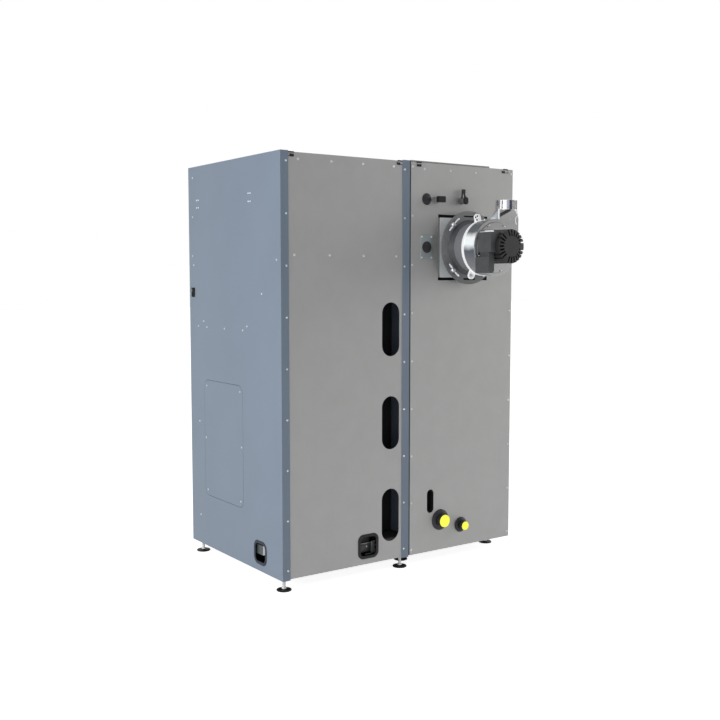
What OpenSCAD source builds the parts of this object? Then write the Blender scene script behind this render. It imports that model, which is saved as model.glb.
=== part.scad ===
// Pellet boiler: a pellet module and a boiler module side by side on levelling feet.
// All pieces are placed from the outer corner at the left module's outer side, the
// connection face and the floor: x to the right along the connection face, y into the
// machine, z up. in_frame() then moves them so that the origin is the middle of the
// whole machine's footprint, on the floor. Millimetres.

/* [Casing] */
// Height of the side panels
casing_h = 1500; // [1300:10:1700]
// Depth of the side panels
casing_d = 720; // [650:10:850]
// Width of the pellet module
hopper_w = 557; // [521:4:641]
// Width of the boiler module
boiler_w = 516; // [480:3:600]
// Space between the two modules
module_gap = 7; // [5:1:20]
// Thickness of the casing sheet
sheet_t = 2; // [1.5:0.5:3]
// How much shorter than the side panels the rear panels are, at the top and at the bottom
panel_inset = 4; // [2:1:8]
// Width of the folded flange at the outer edge of the connection face
outer_flange_w = 32; // [26:1:36]
// Width of the folded flange in the middle of the connection face
inner_flange_w = 33; // [30:1:39]
// Thickness of the insulated front panels
door_t = 20; // [10:1:30]
// Thickness of the top covers
cover_t = 6; // [4:1:10]
// Width of the raised cover over the boiler
raised_cover_w = 390; // [300:1:440]

/* [Base and feet] */
// Clear height under the casing
foot_gap = 40; // [30:1:60]
// Diameter of a foot's pad
pad_d = 54; // [44:1:56]
// Height of a foot's pad at its edge
pad_edge_h = 5; // [3:1:8]
// Height of a foot's pad at its middle
pad_mid_h = 11; // [9:1:16]
// Diameter of the flat top of a foot's pad
pad_top_d = 24; // [18:1:30]
// Diameter of a foot's threaded stem
stem_d = 12; // [8:1:16]
// Distance from a pellet module foot to the module's side
foot_side = 21; // [10:1:40]
// Distance from a pellet module foot to the connection face
foot_rear = 28; // [28:1:60]
// Distance from the far feet to the front
foot_front = 52; // [40:1:90]
// Distance from a boiler module foot to the module's side
boiler_foot_side = 35; // [30:1:60]
// Distance from a boiler module foot to the connection face
boiler_foot_rear = 105; // [60:1:140]
// Height of the closed base frame
base_h = 85; // [60:1:100]

/* [Hose slots] */
// Width of a hose slot
slot_w = 80; // [60:1:90]
// Length of a hose slot
slot_len = 200; // [140:5:260]
// Height of the lowest slot's middle above the casing's bottom
slot_z = 175; // [150:5:200]
// Distance from one slot's middle to the next
slot_pitch = 350; // [300:5:400]
// Distance from the slots' middle to the pellet module's inner side
slot_from_side = 85; // [82:1:110]
// Depth of the channel behind the slots
channel_d = 104; // [80:2:150]

/* [Cable openings] */
// Outer width and height of a cable frame
frame_w = 94; // [80:1:110]
// Width and height of the opening in a cable frame
frame_hole_w = 76; // [60:1:78]
// Outer corner radius of a cable frame
frame_r = 25; // [18:1:30]
// Thickness of a cable frame's collar in front of the sheet
frame_lip = 3; // [2:0.5:5]
// Height of a cable frame's middle above the casing's bottom
frame_z = 71; // [56:1:80]
// Distance from the rear cable frame's middle to the hose slots' middle
rear_frame_from_slots = 102; // [98:1:120]
// Distance from the side cable frame's middle to the connection face
side_frame_y = 160; // [155:1:180]
// Clear space around a cable frame inside the machine
bay_gap = 10; // [4:1:12]
// Depth of the space behind the side cable frame
bay_d = 100; // [70:5:140]

/* [Feed drive] */
// Width of the feed gearmotor seen through the rear cable frame
gearmotor_w = 62; // [40:1:80]
// Height of the feed gearmotor
gearmotor_h = 58; // [40:1:62]
// Depth of the space in front of the feed gearmotor
gearmotor_back = 24; // [10:1:50]
// Depth of the duct seen through the side cable frame
duct_back = 22; // [10:1:50]
// Distance from the side cable frame's middle to the duct's near side
duct_side = 6; // [0:1:30]
// Height of that duct above the casing's bottom
duct_z = 45; // [40:1:70]

/* [Access cover] */
// Length of the access cover in the left side
access_l = 313; // [240:1:340]
// Height of the access cover
access_h = 458; // [300:2:500]
// Distance from the access cover's middle to the connection face
access_y = 441; // [430:1:460]
// Height of the access cover's middle above the casing's bottom
access_z = 437; // [420:1:500]
// Corner radius of the access cover
access_r = 30; // [10:1:60]
// Width of the seam around the access cover
seam = 1; // [0.6:0.1:2]

/* [Latch and clips] */
// Width of the side latch
latch_w = 45; // [30:1:52]
// Height of the side latch
latch_h = 38; // [30:1:52]
// Corner radius of the side latch
latch_r = 5; // [2:1:10]
// How far the side latch stands out
latch_lip = 2; // [1:0.5:4]
// Distance from the latch's middle to the front
latch_front = 29; // [27:1:40]
// Distance from the latch's middle to the top of the side panel
latch_from_top = 492; // [400:1:600]
// Width of the clips at the top of the rear panels
clip_w = 22; // [14:1:30]
// Depth of the notches that hold those clips
clip_h = 15; // [10:1:20]
// How far a clip stays below the panel's top edge
clip_drop = 5; // [2:1:7]
// Distance from a boiler module clip's middle to the module's side
clip_from_side = 37; // [30:1:60]

/* [Boiler connection face] */
// Width and height of the flue box
flue_box_w = 228; // [212:1:236]
// Clear space between the flue box and the square opening around it
flue_box_gap = 11; // [4:1:20]
// Depth of the flue box
flue_box_d = 30; // [20:1:50]
// Distance from the fan's axis to the boiler module's inner side
fan_from_side = 257; // [240:1:270]
// Distance from the fan's axis to the top of the side panels
fan_from_top = 319; // [300:1:400]
// Width of the small cable slot
small_slot_w = 33; // [20:1:40]
// Length of the small cable slot
small_slot_len = 92; // [60:1:120]
// Depth of the space behind the small cable slot
small_slot_d = 60; // [30:5:100]
// Distance from the small cable slot to the boiler module's inner side
small_slot_from_side = 101; // [96:1:112]
// Height of the small cable slot's middle above the casing's bottom
small_slot_z = 202; // [190:1:240]
// Width of the black plugs' heads
plug_d = 44; // [36:1:46]
// Distance from the plugs to the boiler module's inner side
plug_from_side = 75; // [65:1:78]
// Distance from the upper plug to the top of the side panels
plug_from_top = 139; // [110:1:150]
// Thickness of a plug's head
plug_t = 4; // [2:0.5:6]
// Diameter of a plug's neck
plug_neck_d = 36; // [28:1:38]
// Width of the zinc bracket plate
bracket_w = 60; // [52:1:62]
// Height of the zinc bracket plate
bracket_h = 92; // [80:1:110]
// Width of the sensor connector
connector_w = 34; // [26:1:40]
// Height of the sensor connector
connector_h = 22.5; // [16:0.5:30]
// How far the sensor connector stands out
connector_l = 35; // [20:1:50]
// Distance from the sensor connector to the boiler module's inner side
connector_from_side = 123; // [119:1:130]
// Diameter of the small valve's body
valve_d = 31; // [24:1:36]
// How far the valve's body stands out
valve_l = 24; // [16:1:40]
// Length of the valve's hand cap
valve_cap_l = 6; // [4:1:12]
// Diameter of the valve's upright stem
valve_stem_d = 11; // [7:0.5:14]
// Height of the stem's end above the valve's axis
valve_stem_h = 44; // [30:1:60]
// Distance from the valve's axis to the boiler module's inner side
valve_from_side = 245; // [220:1:260]

/* [Water pipes] */
// Outer diameter of the large water pipe
large_pipe_d = 47.8; // [42:0.1:50]
// Outer diameter of the small water pipe
small_pipe_d = 33.2; // [26:0.1:36]
// Length of pipe outside the casing, with its plug
pipe_out = 29; // [24:1:60]
// Thickness of the yellow plug's head
pipe_plug_t = 2; // [1:0.5:4]
// Wall thickness of the water pipes
pipe_wall = 3.2; // [2.5:0.1:4]
// Outer diameter of the large pipe's collar
large_collar_d = 82; // [70:1:90]
// Outer diameter of the small pipe's collar
small_collar_d = 60; // [50:1:66]
// Thickness of the pipe collars
collar_t = 8; // [4:1:12]
// Thickness of a pipe collar at its outer edge
collar_edge_t = 3; // [1:0.5:3.5]
// How much slimmer a pipe is inside its collar than at its end, on the radius
pipe_step = 1; // [0.5:0.1:2]
// Distance from a collar's front to the pipe's full width
pipe_land = 1; // [0.5:0.5:4]
// Gap between a round piece and the hole it passes through
pipe_gap = 0.3; // [0.3:0.1:0.8]
// Distance from the large pipe to the boiler module's inner side
large_pipe_from_side = 150; // [145:1:155]
// Height of the large pipe above the casing's bottom
large_pipe_z = 123; // [115:1:128]
// Distance from the small pipe to the boiler module's inner side
small_pipe_from_side = 255; // [240:1:300]
// Height of the small pipe above the casing's bottom
small_pipe_z = 89; // [60:1:120]

/* [Fan] */
// Diameter of the fan's mounting disc
disc_d = 280; // [260:1:300]
// Thickness of the mounting disc
disc_t = 4; // [3:1:8]
// Distance from the casing to the front of the mounting disc
disc_y = 36; // [24:1:50]
// Diameter of the neck behind the mounting disc
neck_d = 190; // [150:2:200]
// Diameter of the fan's inlet cone
inlet_d = 184; // [160:2:190]
// Diameter of the inlet cone at the mounting disc
inlet_foot_d = 212; // [200:2:220]
// Length of the cone's sloping part
inlet_slope_l = 18; // [8:1:30]
// Distance from the casing to the back of the fan housing
housing_y = 102; // [80:1:130]
// Length of the fan housing along its axis
housing_l = 76; // [70:1:100]
// Radius of the round part of the fan housing
drum_r = 103; // [98:1:106]
// How far the round part's middle lies to the right of the fan's axis
drum_x = 5; // [0:1:8]
// How far the round part's middle lies below the fan's axis
drum_drop = 3; // [0:1:6]
// Distance from the fan's axis to the outlet side of the housing
outlet_side = 120; // [116:1:130]
// Angle from the outlet side at which the scroll starts to swell
swell_angle = 40; // [30:1:60]
// Diameter of the round cover on the housing
housing_cover_d = 188; // [160:2:192]
// Thickness of that cover
housing_cover_t = 3; // [2:0.5:5]
// Length of the rolled rim at the back of the housing
rim_l = 14; // [8:1:20]
// How far the rolled rim stands out from the housing
rim_lip = 1.5; // [1:0.5:3]
// Distance from the round part's middle to an ear on the rim
ear_r = 118; // [114:1:124]
// Width of an ear on the rim
ear_w = 28; // [20:1:34]
// Thickness of an ear
ear_t = 8; // [4:1:10]
// Diameter of the hole in an ear
ear_hole_d = 6; // [4:0.5:8]
// Length of the slots in the mounting disc
disc_slot_l = 60; // [30:1:70]
// Width of the slots in the mounting disc
disc_slot_w = 7; // [4:1:10]
// Radius at which the mounting disc's slots lie
disc_slot_r = 120; // [116:1:124]
// Radius at which the wing nuts sit
nut_r = 122; // [118:1:126]
// Span of a wing nut
nut_span = 58; // [40:1:64]
// Diameter of a wing nut's boss
nut_boss_d = 16; // [12:1:18]
// Thickness of a wing nut's wings
nut_wing_t = 4; // [3:0.5:6]
// Height of a wing nut
nut_h = 14; // [8:1:18]

/* [Fan outlet] */
// Outer diameter of the outlet spigot
spigot_d = 82; // [70:1:90]
// Wall thickness of the outlet spigot
spigot_wall = 2; // [1.5:0.5:4]
// Length of the outlet spigot
spigot_l = 36; // [25:1:80]
// Height of the outlet's foot above the fan's axis
outlet_foot_z = 107; // [105:1:112]
// Height of the outlet's shoulder above the fan's axis
shoulder_z = 142; // [135:1:170]
// Distance from the outlet's middle to the fan's axis
outlet_x = 92; // [84:1:94]
// Depth of the outlet's foot along the fan's axis
outlet_foot_d = 42; // [30:1:70]
// Distance from the fan's axis to the near edge of the outlet's foot
outlet_foot_x = 19; // [10:1:30]
// Width of the outlet's upright front corner
outlet_corner_w = 6; // [3:1:10]
// Distance from that corner's top up to the shoulder
outlet_corner_drop = 6; // [2:1:15]
// Depth of the open bore below the shoulder
outlet_bore_d = 20; // [10:1:30]

/* [Fan motor] */
// Diameter of the motor
motor_d = 125; // [110:1:140]
// Length of the motor's plain part
motor_l = 66; // [50:1:90]
// Length of the motor's finned end
motor_end_l = 24; // [18:1:40]
// How far the motor's end slopes forward from its rim to its plain middle
motor_slope_l = 3.5; // [1:0.5:8]
// Number of equal steps around the motor at which a gap or a screw boss lies
fin_count = 24; // [18:3:30]
// Number of screw bosses that take the place of a gap
boss_count = 3; // [1:1:4]
// Angle on each side of the terminal box over which the gaps are closed at the rim
closed_angle = 16; // [0:1:40]
// Wall that closes those gaps
closed_wall = 5; // [2:0.5:8]
// Depth of the grooves along the motor's side
groove_d = 4; // [1:0.5:6]
// Width of the gaps between the fins
fin_gap = 6; // [3:0.5:7]
// Depth of the gaps between the fins
fin_depth = 14; // [8:1:15]
// Diameter of the plain middle of the motor's end
motor_hub_d = 76; // [60:2:90]
// Distance from the motor's axis to the terminal box's outer side
box_x = 86; // [76:1:100]
// Distance from the motor's axis to the terminal box's inner side
box_inner_x = 32; // [20:1:50]
// Height of the terminal box above the motor's axis
box_top = 52; // [40:1:60]
// Height of the terminal box's underside below the motor's axis
box_bottom = 22; // [10:1:30]
// Length of the terminal box along the motor's axis
box_l = 68; // [50:1:80]
// Lowest point of the connector box below the motor's axis
plug_box_bottom = 98; // [80:1:110]
// Length of the connector box along the motor's axis
plug_box_l = 59; // [45:1:64]
// Width of the connector box
plug_box_w = 28; // [24:1:34]
// How far the connector box's outer side flares towards the casing
plug_box_flare = 12; // [0:1:16]
// Radius of the connector box's lower corner
plug_box_r = 12; // [4:1:16]
// How far the connector box's neck lies in front of the housing's cover
plug_neck_s = 12; // [6:1:20]
// Height of the connector box's neck
plug_neck_h = 16; // [8:1:24]

/* [Hidden] */

$fn = 96;
smooth = 48;    // facets of small round pieces
past = 1;       // how far a cutting tool runs past a face
ear_angles = [104, 241];

sheet_blue = [0.55, 0.61, 0.68];
sheet_dark = [0.38, 0.43, 0.48];
sheet_grey = [0.60, 0.60, 0.59];
inside_black = [0.06, 0.06, 0.07];
plastic_black = [0.12, 0.12, 0.13];
zinc = [0.72, 0.74, 0.76];
bright_metal = [0.80, 0.82, 0.84];
flange_grey = [0.36, 0.38, 0.40];
plug_yellow = [0.98, 0.97, 0.25];

// main levels and planes
z_bottom = foot_gap;
z_top = z_bottom + casing_h;
z_panel = z_bottom + panel_inset;
z_panel_top = z_top - panel_inset;
z_core_top = z_panel_top - cover_t;
z_base_top = z_bottom + base_h;
z_frame = z_bottom + frame_z;
y_panel = sheet_t;
y_inside = 2 * sheet_t;
y_door = casing_d - door_t;
x_boiler = hopper_w + module_gap;
x_end = x_boiler + boiler_w;
x_cover_end = x_boiler + raised_cover_w;

// the square opening for the fan
square_w = flue_box_w + 2 * flue_box_gap;

// places on the connection face
slot_x = hopper_w - slot_from_side;
rear_frame_x = slot_x - rear_frame_from_slots;
bay_half_w = frame_w / 2 + bay_gap;
bay_low_z = z_frame - frame_w / 2 - bay_gap / 2;
fan_x = x_boiler + fan_from_side;
fan_h = z_top - fan_from_top;
plug_x = x_boiler + plug_from_side;
upper_plug_h = z_top - plug_from_top;
large_pipe_x = x_boiler + large_pipe_from_side;
small_pipe_x = x_boiler + small_pipe_from_side;
small_slot_x = x_boiler + small_slot_from_side;

// lengths along the fan's axis, from the outer face of the casing outwards
housing_front = housing_y + housing_l;
motor_back = housing_front + housing_cover_t;
motor_front = motor_back + motor_l;
motor_face = motor_front + motor_end_l;
outlet_mid = housing_y + housing_l / 2;
drum_back = housing_y + rim_l;
drum_middle = [drum_x, -drum_drop];

// where a water pipe reaches its full width, from the outer face of the casing outwards
pipe_full_y = collar_t - y_panel + pipe_land;

// the machine's footprint, whose middle is the origin
x_low = -latch_lip;
y_low = -motor_face;
mid_x = (x_low + x_end) / 2;
mid_y = (y_low + casing_d) / 2;

module in_frame() translate([-mid_x, -mid_y, 0]) children();

// a block between two corners
module block(low, high) translate(low) cube(high - low);

// children drawn in x and z stand on the connection face: [x, z] at y, t deep
module on_face(x, y, z, t) translate([x, y + t, z]) rotate([90, 0, 0])
    linear_extrude(t) children();

// children along +z point out of the casing, along the fan's axis
module on_fan_axis() translate([fan_x, 0, fan_h]) rotate([90, 0, 0]) children();

module rounded_rect(w, h, r) {
    square([w - 2 * r, h], center = true);
    square([w, h - 2 * r], center = true);
    for (sx = [-1, 1], sy = [-1, 1])
        translate([sx * (w / 2 - r), sy * (h / 2 - r)]) circle(r);
}

module upright_slot(w, len) {
    square([w, len - w], center = true);
    for (s = [-1, 1]) translate([0, s * (len - w) / 2]) circle(d = w);
}

// a sheet standing along y at x, from one height to another
module side_sheet(x, y0, z0, z1)
    block([x, y0, z0], [x + sheet_t, casing_d, z1]);

// a flange folded along the connection face
module flange(x, w) block([x, 0, z_bottom], [x + w, sheet_t, z_top]);

module access_outline(grow)
    rounded_rect(access_l + 2 * grow, access_h + 2 * grow, access_r + grow);

// children drawn in y and z lie in the left side: [y, z], t deep
module in_side(y, z, t) translate([0, y, z_bottom + z]) rotate([90, 0, 90])
    linear_extrude(t) children();

// ---- pellet module ----

module left_side_panel() color(sheet_blue) in_frame() difference() {
    union() {
        side_sheet(0, 0, z_bottom, z_top);
        flange(0, outer_flange_w);
    }
    translate([-past, 0, 0]) in_side(access_y, access_z, sheet_t + 2 * past)
        access_outline(seam);
    translate([-past, 0, 0]) in_side(side_frame_y, frame_z, sheet_t + 2 * past) frame_hole();
}

module side_access_cover() color(sheet_blue) in_frame()
    in_side(access_y, access_z, sheet_t) access_outline(0);

// the opening in a cable frame, and the frame around it
module frame_hole()
    rounded_rect(frame_hole_w, frame_hole_w, frame_r - (frame_w - frame_hole_w) / 2);

module frame_outline() difference() {
    rounded_rect(frame_w, frame_w, frame_r);
    frame_hole();
}

module side_cable_frame() color(plastic_black) in_frame()
    translate([-latch_lip, 0, 0]) in_side(side_frame_y, frame_z, latch_lip) frame_outline();

module side_latch() color(plastic_black) in_frame() translate([-latch_lip, 0, 0])
    in_side(casing_d - latch_front, casing_h - latch_from_top, latch_lip)
        rounded_rect(latch_w, latch_h, latch_r);

module rear_slots(r_extra) for (i = [0:2])
    translate([0, z_bottom + slot_z + i * slot_pitch])
        upright_slot(slot_w + 2 * r_extra, slot_len + 2 * r_extra);

// notches in the top edge of a rear panel, at places along x
module clip_notch() square([clip_w, 2 * clip_h], center = true);

left_clips = [outer_flange_w + clip_w / 2, hopper_w - inner_flange_w - clip_w / 2];
right_clips = [x_boiler + clip_from_side, x_end - clip_from_side];

module left_rear_panel() color(sheet_grey) in_frame() difference() {
    block([sheet_t, y_panel, z_panel], [hopper_w - sheet_t, y_inside, z_panel_top]);
    on_face(slot_x, y_panel - past, 0, sheet_t + 2 * past) rear_slots(0);
    on_face(rear_frame_x, y_panel - past, z_frame, sheet_t + 2 * past) frame_hole();
    for (x = left_clips)
        on_face(x, y_panel - past, z_panel_top, sheet_t + 2 * past) clip_notch();
}

module rear_cable_frame() color(plastic_black) in_frame()
    on_face(rear_frame_x, y_panel - frame_lip, z_frame, frame_lip) frame_outline();

module left_inner_panel() color(sheet_blue) in_frame() {
    side_sheet(hopper_w - sheet_t, 0, z_bottom, z_top);
    flange(hopper_w - inner_flange_w, inner_flange_w);
}

module left_top_cover() color(sheet_grey) in_frame()
    block([sheet_t, y_inside, z_core_top], [hopper_w - sheet_t, y_door, z_panel_top]);

module left_front_panel() color(sheet_blue) in_frame()
    block([sheet_t, y_door, z_panel], [hopper_w - sheet_t, casing_d, z_panel_top]);

// the space behind the side cable frame
module side_bay() block(
    [sheet_t - past, side_frame_y - bay_half_w, bay_low_z],
    [sheet_t + bay_d, side_frame_y + bay_half_w, z_frame + bay_half_w]);

// the space behind the rear cable frame
module rear_bay() block(
    [rear_frame_x - bay_half_w, y_inside - past, bay_low_z],
    [rear_frame_x + bay_half_w, y_inside + channel_d, z_base_top + past]);

module left_base() color(inside_black) in_frame() difference() {
    block([sheet_t, y_inside, z_panel], [hopper_w - sheet_t, y_door, z_base_top]);
    side_bay();
    rear_bay();
}

module pellet_hopper() color(inside_black) in_frame() difference() {
    block([sheet_t, y_inside + channel_d, z_base_top], [hopper_w - sheet_t, y_door, z_core_top]);
    side_bay();
}

module feed_gearmotor() color(plastic_black) in_frame() block(
    [rear_frame_x - gearmotor_w / 2, y_inside + gearmotor_back, z_frame - gearmotor_h / 2],
    [rear_frame_x + gearmotor_w / 2, y_inside + channel_d, z_frame + gearmotor_h / 2]);

module feed_duct() color(zinc) in_frame() block(
    [sheet_t + duct_back, side_frame_y + duct_side, z_bottom + duct_z],
    [sheet_t + bay_d, side_frame_y + bay_half_w, z_frame + bay_half_w]);

module joining_strip() color(sheet_dark) in_frame()
    block([hopper_w, y_inside, z_panel], [x_boiler, y_inside + module_gap, z_panel_top]);

// ---- boiler module ----

module right_rear_panel() color(sheet_grey) in_frame() difference() {
    block([x_boiler, y_panel, z_panel], [x_end, y_inside, z_panel_top]);
    on_face(fan_x, y_panel - past, fan_h, sheet_t + 2 * past) square(square_w, center = true);
    on_face(small_slot_x, y_panel - past, z_bottom + small_slot_z, sheet_t + 2 * past)
        upright_slot(small_slot_w, small_slot_len);
    for (z = [upper_plug_h, fan_h])
        on_face(plug_x, y_panel - past, z, sheet_t + 2 * past) circle(d = plug_neck_d);
    for (x = right_clips)
        on_face(x, y_panel - past, z_panel_top, sheet_t + 2 * past) clip_notch();
    on_face(large_pipe_x, y_panel - past, z_bottom + large_pipe_z, sheet_t + 2 * past)
        circle(r = large_pipe_d / 2 - pipe_step + 2 * pipe_gap);
    on_face(small_pipe_x, y_panel - past, z_bottom + small_pipe_z, sheet_t + 2 * past)
        circle(r = small_pipe_d / 2 - pipe_step + 2 * pipe_gap);
}

module right_inner_panel() color(sheet_blue) in_frame()
    side_sheet(x_boiler, y_inside, z_panel, z_panel_top);

module right_side_panel() color(sheet_blue) in_frame()
    side_sheet(x_end - sheet_t, y_inside, z_panel, z_panel_top);

module right_top_cover() color(sheet_grey) in_frame() {
    block([x_boiler, y_panel, z_panel_top], [x_cover_end, casing_d, z_panel_top + cover_t]);
    block([x_boiler + sheet_t, y_inside, z_core_top], [x_cover_end, y_door, z_panel_top]);
}

module right_top_strip() color(sheet_grey) in_frame()
    block([x_cover_end, y_inside, z_core_top], [x_end - sheet_t, y_door, z_panel_top]);

module right_front_panel() color(sheet_blue) in_frame()
    block([x_boiler + sheet_t, y_door, z_panel], [x_end - sheet_t, casing_d, z_panel_top]);

module right_base() color(inside_black) in_frame()
    block([x_boiler + sheet_t, y_inside, z_panel], [x_end - sheet_t, y_door, z_base_top]);

module boiler_body() color(inside_black) in_frame() difference() {
    block([x_boiler + sheet_t, y_inside, z_base_top], [x_end - sheet_t, y_door, z_core_top]);
    translate([fan_x - square_w / 2, y_inside - past, fan_h - square_w / 2])
        cube([square_w, flue_box_d + past, square_w]);
    on_face(small_slot_x, y_inside - past, z_bottom + small_slot_z, small_slot_d + past)
        upright_slot(small_slot_w, small_slot_len);
}

module flue_box() color(zinc) in_frame()
    translate([fan_x - flue_box_w / 2, y_inside, fan_h - flue_box_w / 2])
        cube([flue_box_w, flue_box_d, flue_box_w]);

// ---- fan ----

module fan_mounting_disc() color(flange_grey) in_frame() on_fan_axis() difference() {
    union() {
        translate([0, 0, disc_y - disc_t]) cylinder(h = disc_t, d = disc_d);
        translate([0, 0, -y_inside]) cylinder(h = y_inside + disc_y - disc_t, d = neck_d);
    }
    for (a = [0:90:270]) rotate(a) translate([disc_slot_r, 0, disc_y - disc_t - past])
        linear_extrude(disc_t + 2 * past) upright_slot(disc_slot_w, disc_slot_l);
}

module fan_inlet_cone() color(flange_grey) in_frame() on_fan_axis() rotate_extrude()
    polygon([[0, disc_y], [inlet_foot_d / 2, disc_y], [inlet_d / 2, disc_y + inlet_slope_l],
        [inlet_d / 2, housing_y], [0, housing_y]]);

// an ear beside the rim, with its screw hole
module ear_outline() difference() {
    union() {
        translate([drum_r - rim_lip, -ear_w / 2]) square([ear_r - drum_r + rim_lip, ear_w]);
        translate([ear_r, 0]) circle(d = ear_w);
    }
    translate([ear_r, 0]) circle(d = ear_hole_d, $fn = smooth);
}

module rim_ear(angle) translate(drum_middle) rotate(angle) translate([0, 0, housing_y])
    linear_extrude(ear_t) ear_outline();

// the rolled rim fills the housing's back, between the inlet cone and the drum
module housing_rim() color(bright_metal) in_frame() on_fan_axis() {
    translate(drum_middle) rotate_extrude() polygon([[0, housing_y],
        [drum_r - rim_lip, housing_y], [drum_r + rim_lip, housing_y + rim_lip],
        [drum_r + rim_lip, drum_back - rim_lip], [drum_r - rim_lip, drum_back], [0, drum_back]]);
    for (a = ear_angles) rim_ear(a);
}

// the scroll's outline: round from the outlet's near edge over the top, the left and the
// bottom to the swell angle, then an arc that ends upright at the outlet's far side
swell_r = (outlet_side - drum_x - drum_r * cos(swell_angle)) / (1 - cos(swell_angle));
swell_middle = drum_middle + (drum_r - swell_r) * [cos(swell_angle), -sin(swell_angle)];
swell_steps = 10;
start_angle = acos((outlet_foot_x - drum_x) / drum_r);
round_steps = 70;

module scroll_outline() polygon(concat(
    [for (i = [0:round_steps])
        let (a = start_angle + (360 - swell_angle - start_angle) * i / round_steps)
        drum_middle + drum_r * [cos(a), sin(a)]],
    [for (i = [1:swell_steps])
        let (a = -swell_angle * (1 - i / swell_steps)) swell_middle + swell_r * [cos(a), sin(a)]],
    [[outlet_side, outlet_foot_z], [outlet_foot_x, outlet_foot_z]]));

// the outlet changes from a rectangle at its foot to the round spigot
module outlet_neck() hull() {
    block([outlet_foot_x, outlet_foot_z, housing_front - outlet_foot_d],
        [outlet_side, outlet_foot_z + past, housing_front]);
    block([outlet_foot_x, outlet_foot_z, housing_front - outlet_corner_w],
        [outlet_foot_x + outlet_corner_w, shoulder_z - outlet_corner_drop, housing_front]);
    translate([outlet_x, shoulder_z - past, outlet_mid]) rotate([-90, 0, 0])
        cylinder(h = past, d = spigot_d, $fn = smooth);
}

module fan_housing() color(bright_metal) in_frame() on_fan_axis() difference() {
    union() {
        translate([0, 0, drum_back]) linear_extrude(housing_front - drum_back) scroll_outline();
        translate([drum_x, -drum_drop, housing_front]) cylinder(h = housing_cover_t, d = housing_cover_d);
        difference() {
            block([outlet_foot_x, 0, housing_y], [outlet_side, outlet_foot_z, drum_back]);
            translate([drum_x, -drum_drop, housing_y - past])
                cylinder(h = rim_l + 2 * past, r = drum_r + rim_lip + pipe_gap);
        }
        outlet_neck();
    }
    translate([outlet_x, shoulder_z - outlet_bore_d, outlet_mid]) rotate([-90, 0, 0])
        cylinder(h = outlet_bore_d + past, d = spigot_d - 2 * spigot_wall);
}

module outlet_spigot() color(bright_metal) in_frame() on_fan_axis()
    translate([outlet_x, shoulder_z, outlet_mid]) rotate([-90, 0, 0]) difference() {
        cylinder(h = spigot_l, d = spigot_d);
        translate([0, 0, -past]) cylinder(h = spigot_l + 2 * past, d = spigot_d - 2 * spigot_wall);
    }

// ---- fan motor ----

// the angles of the gaps: every step except the bosses; the terminal box lies at 180
gap_angles = [for (i = [0:fin_count - 1]) if (i % (fin_count / boss_count) != 0) 360 * i / fin_count];

function beside_box(a) = abs(a - 180) < closed_angle;

// the grooves along the motor's side, in line with the gaps that are open at the rim
module side_grooves(s0, s1) for (a = gap_angles) if (!beside_box(a)) rotate(a)
    block([motor_d / 2 - groove_d, -fin_gap / 2, s0], [motor_d / 2 + past, fin_gap / 2, s1]);

module motor_body() color(plastic_black) in_frame() on_fan_axis() difference() {
    translate([0, 0, motor_back]) cylinder(h = motor_l, d = motor_d);
    side_grooves(motor_back + groove_d, motor_front + past);
}

module motor_end() color(plastic_black) in_frame() on_fan_axis() difference() {
    rotate_extrude() polygon([
        [0, motor_front], [motor_d / 2, motor_front], [motor_d / 2, motor_face - motor_slope_l],
        [motor_hub_d / 2, motor_face], [0, motor_face]]);
    side_grooves(motor_front - past, motor_face);
    for (a = gap_angles) rotate(a)
        block([motor_hub_d / 2, -fin_gap / 2, motor_face - fin_depth],
            [motor_d / 2 + (beside_box(a) ? -closed_wall : past), fin_gap / 2, motor_face + past]);
}

// the space that a box beside the motor leaves for the motor
module motor_room(z0, z1) translate([0, 0, z0 - past])
    cylinder(h = z1 - z0 + 2 * past, d = motor_d + 2 * pipe_gap);

module terminal_box() color(plastic_black) in_frame() on_fan_axis() difference() {
    block([-box_x, -box_bottom, motor_back], [-box_inner_x, box_top, motor_back + box_l]);
    motor_room(motor_back, motor_back + box_l);
}

// the connector box's outline, with its lower corner on the motor's side rounded
module plug_box_outline() difference() {
    translate([-box_x - plug_box_flare, -plug_box_bottom])
        square([plug_box_w + plug_box_flare, plug_box_bottom - box_bottom]);
    translate([plug_box_w - box_x - plug_box_r, plug_box_r - plug_box_bottom]) difference() {
        translate([0, -plug_box_r - past]) square(plug_box_r + past);
        circle(plug_box_r, $fn = smooth);
    }
}

// the connector box from above: its outer side flares towards the casing
module plug_box_plan() polygon([
    [-box_x - plug_box_flare, motor_back], [-box_x, motor_back + plug_box_l],
    [plug_box_w - box_x, motor_back + plug_box_l], [plug_box_w - box_x, motor_back]]);

module connector_box() color(plastic_black) in_frame() on_fan_axis() difference() {
    intersection() {
        translate([0, 0, motor_back]) linear_extrude(plug_box_l) plug_box_outline();
        rotate([90, 0, 0]) linear_extrude(plug_box_bottom + past) plug_box_plan();
    }
    block([-box_x - plug_box_flare - past, -box_bottom - plug_neck_h, motor_back - past],
        [plug_box_w - box_x + past, -box_bottom + past, motor_back + plug_neck_s]);
    block([-box_x - plug_box_flare - past, -box_bottom - plug_neck_h, motor_back - past],
        [-box_x, -box_bottom + past, motor_back + plug_box_l]);
    motor_room(motor_back, motor_back + plug_box_l);
}

module wing_nut() {
    cylinder(h = nut_h / 2, d = nut_boss_d, $fn = smooth);
    translate([-nut_span / 2, -nut_wing_t / 2, nut_wing_t]) cube([nut_span, nut_wing_t, nut_h - nut_wing_t]);
}

module wing_nuts() color(bright_metal) in_frame() on_fan_axis()
    for (a = [45:90:315]) rotate(a) translate([nut_r, 0, disc_y]) rotate(90) wing_nut();

// ---- fittings on the boiler's connection face ----

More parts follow.
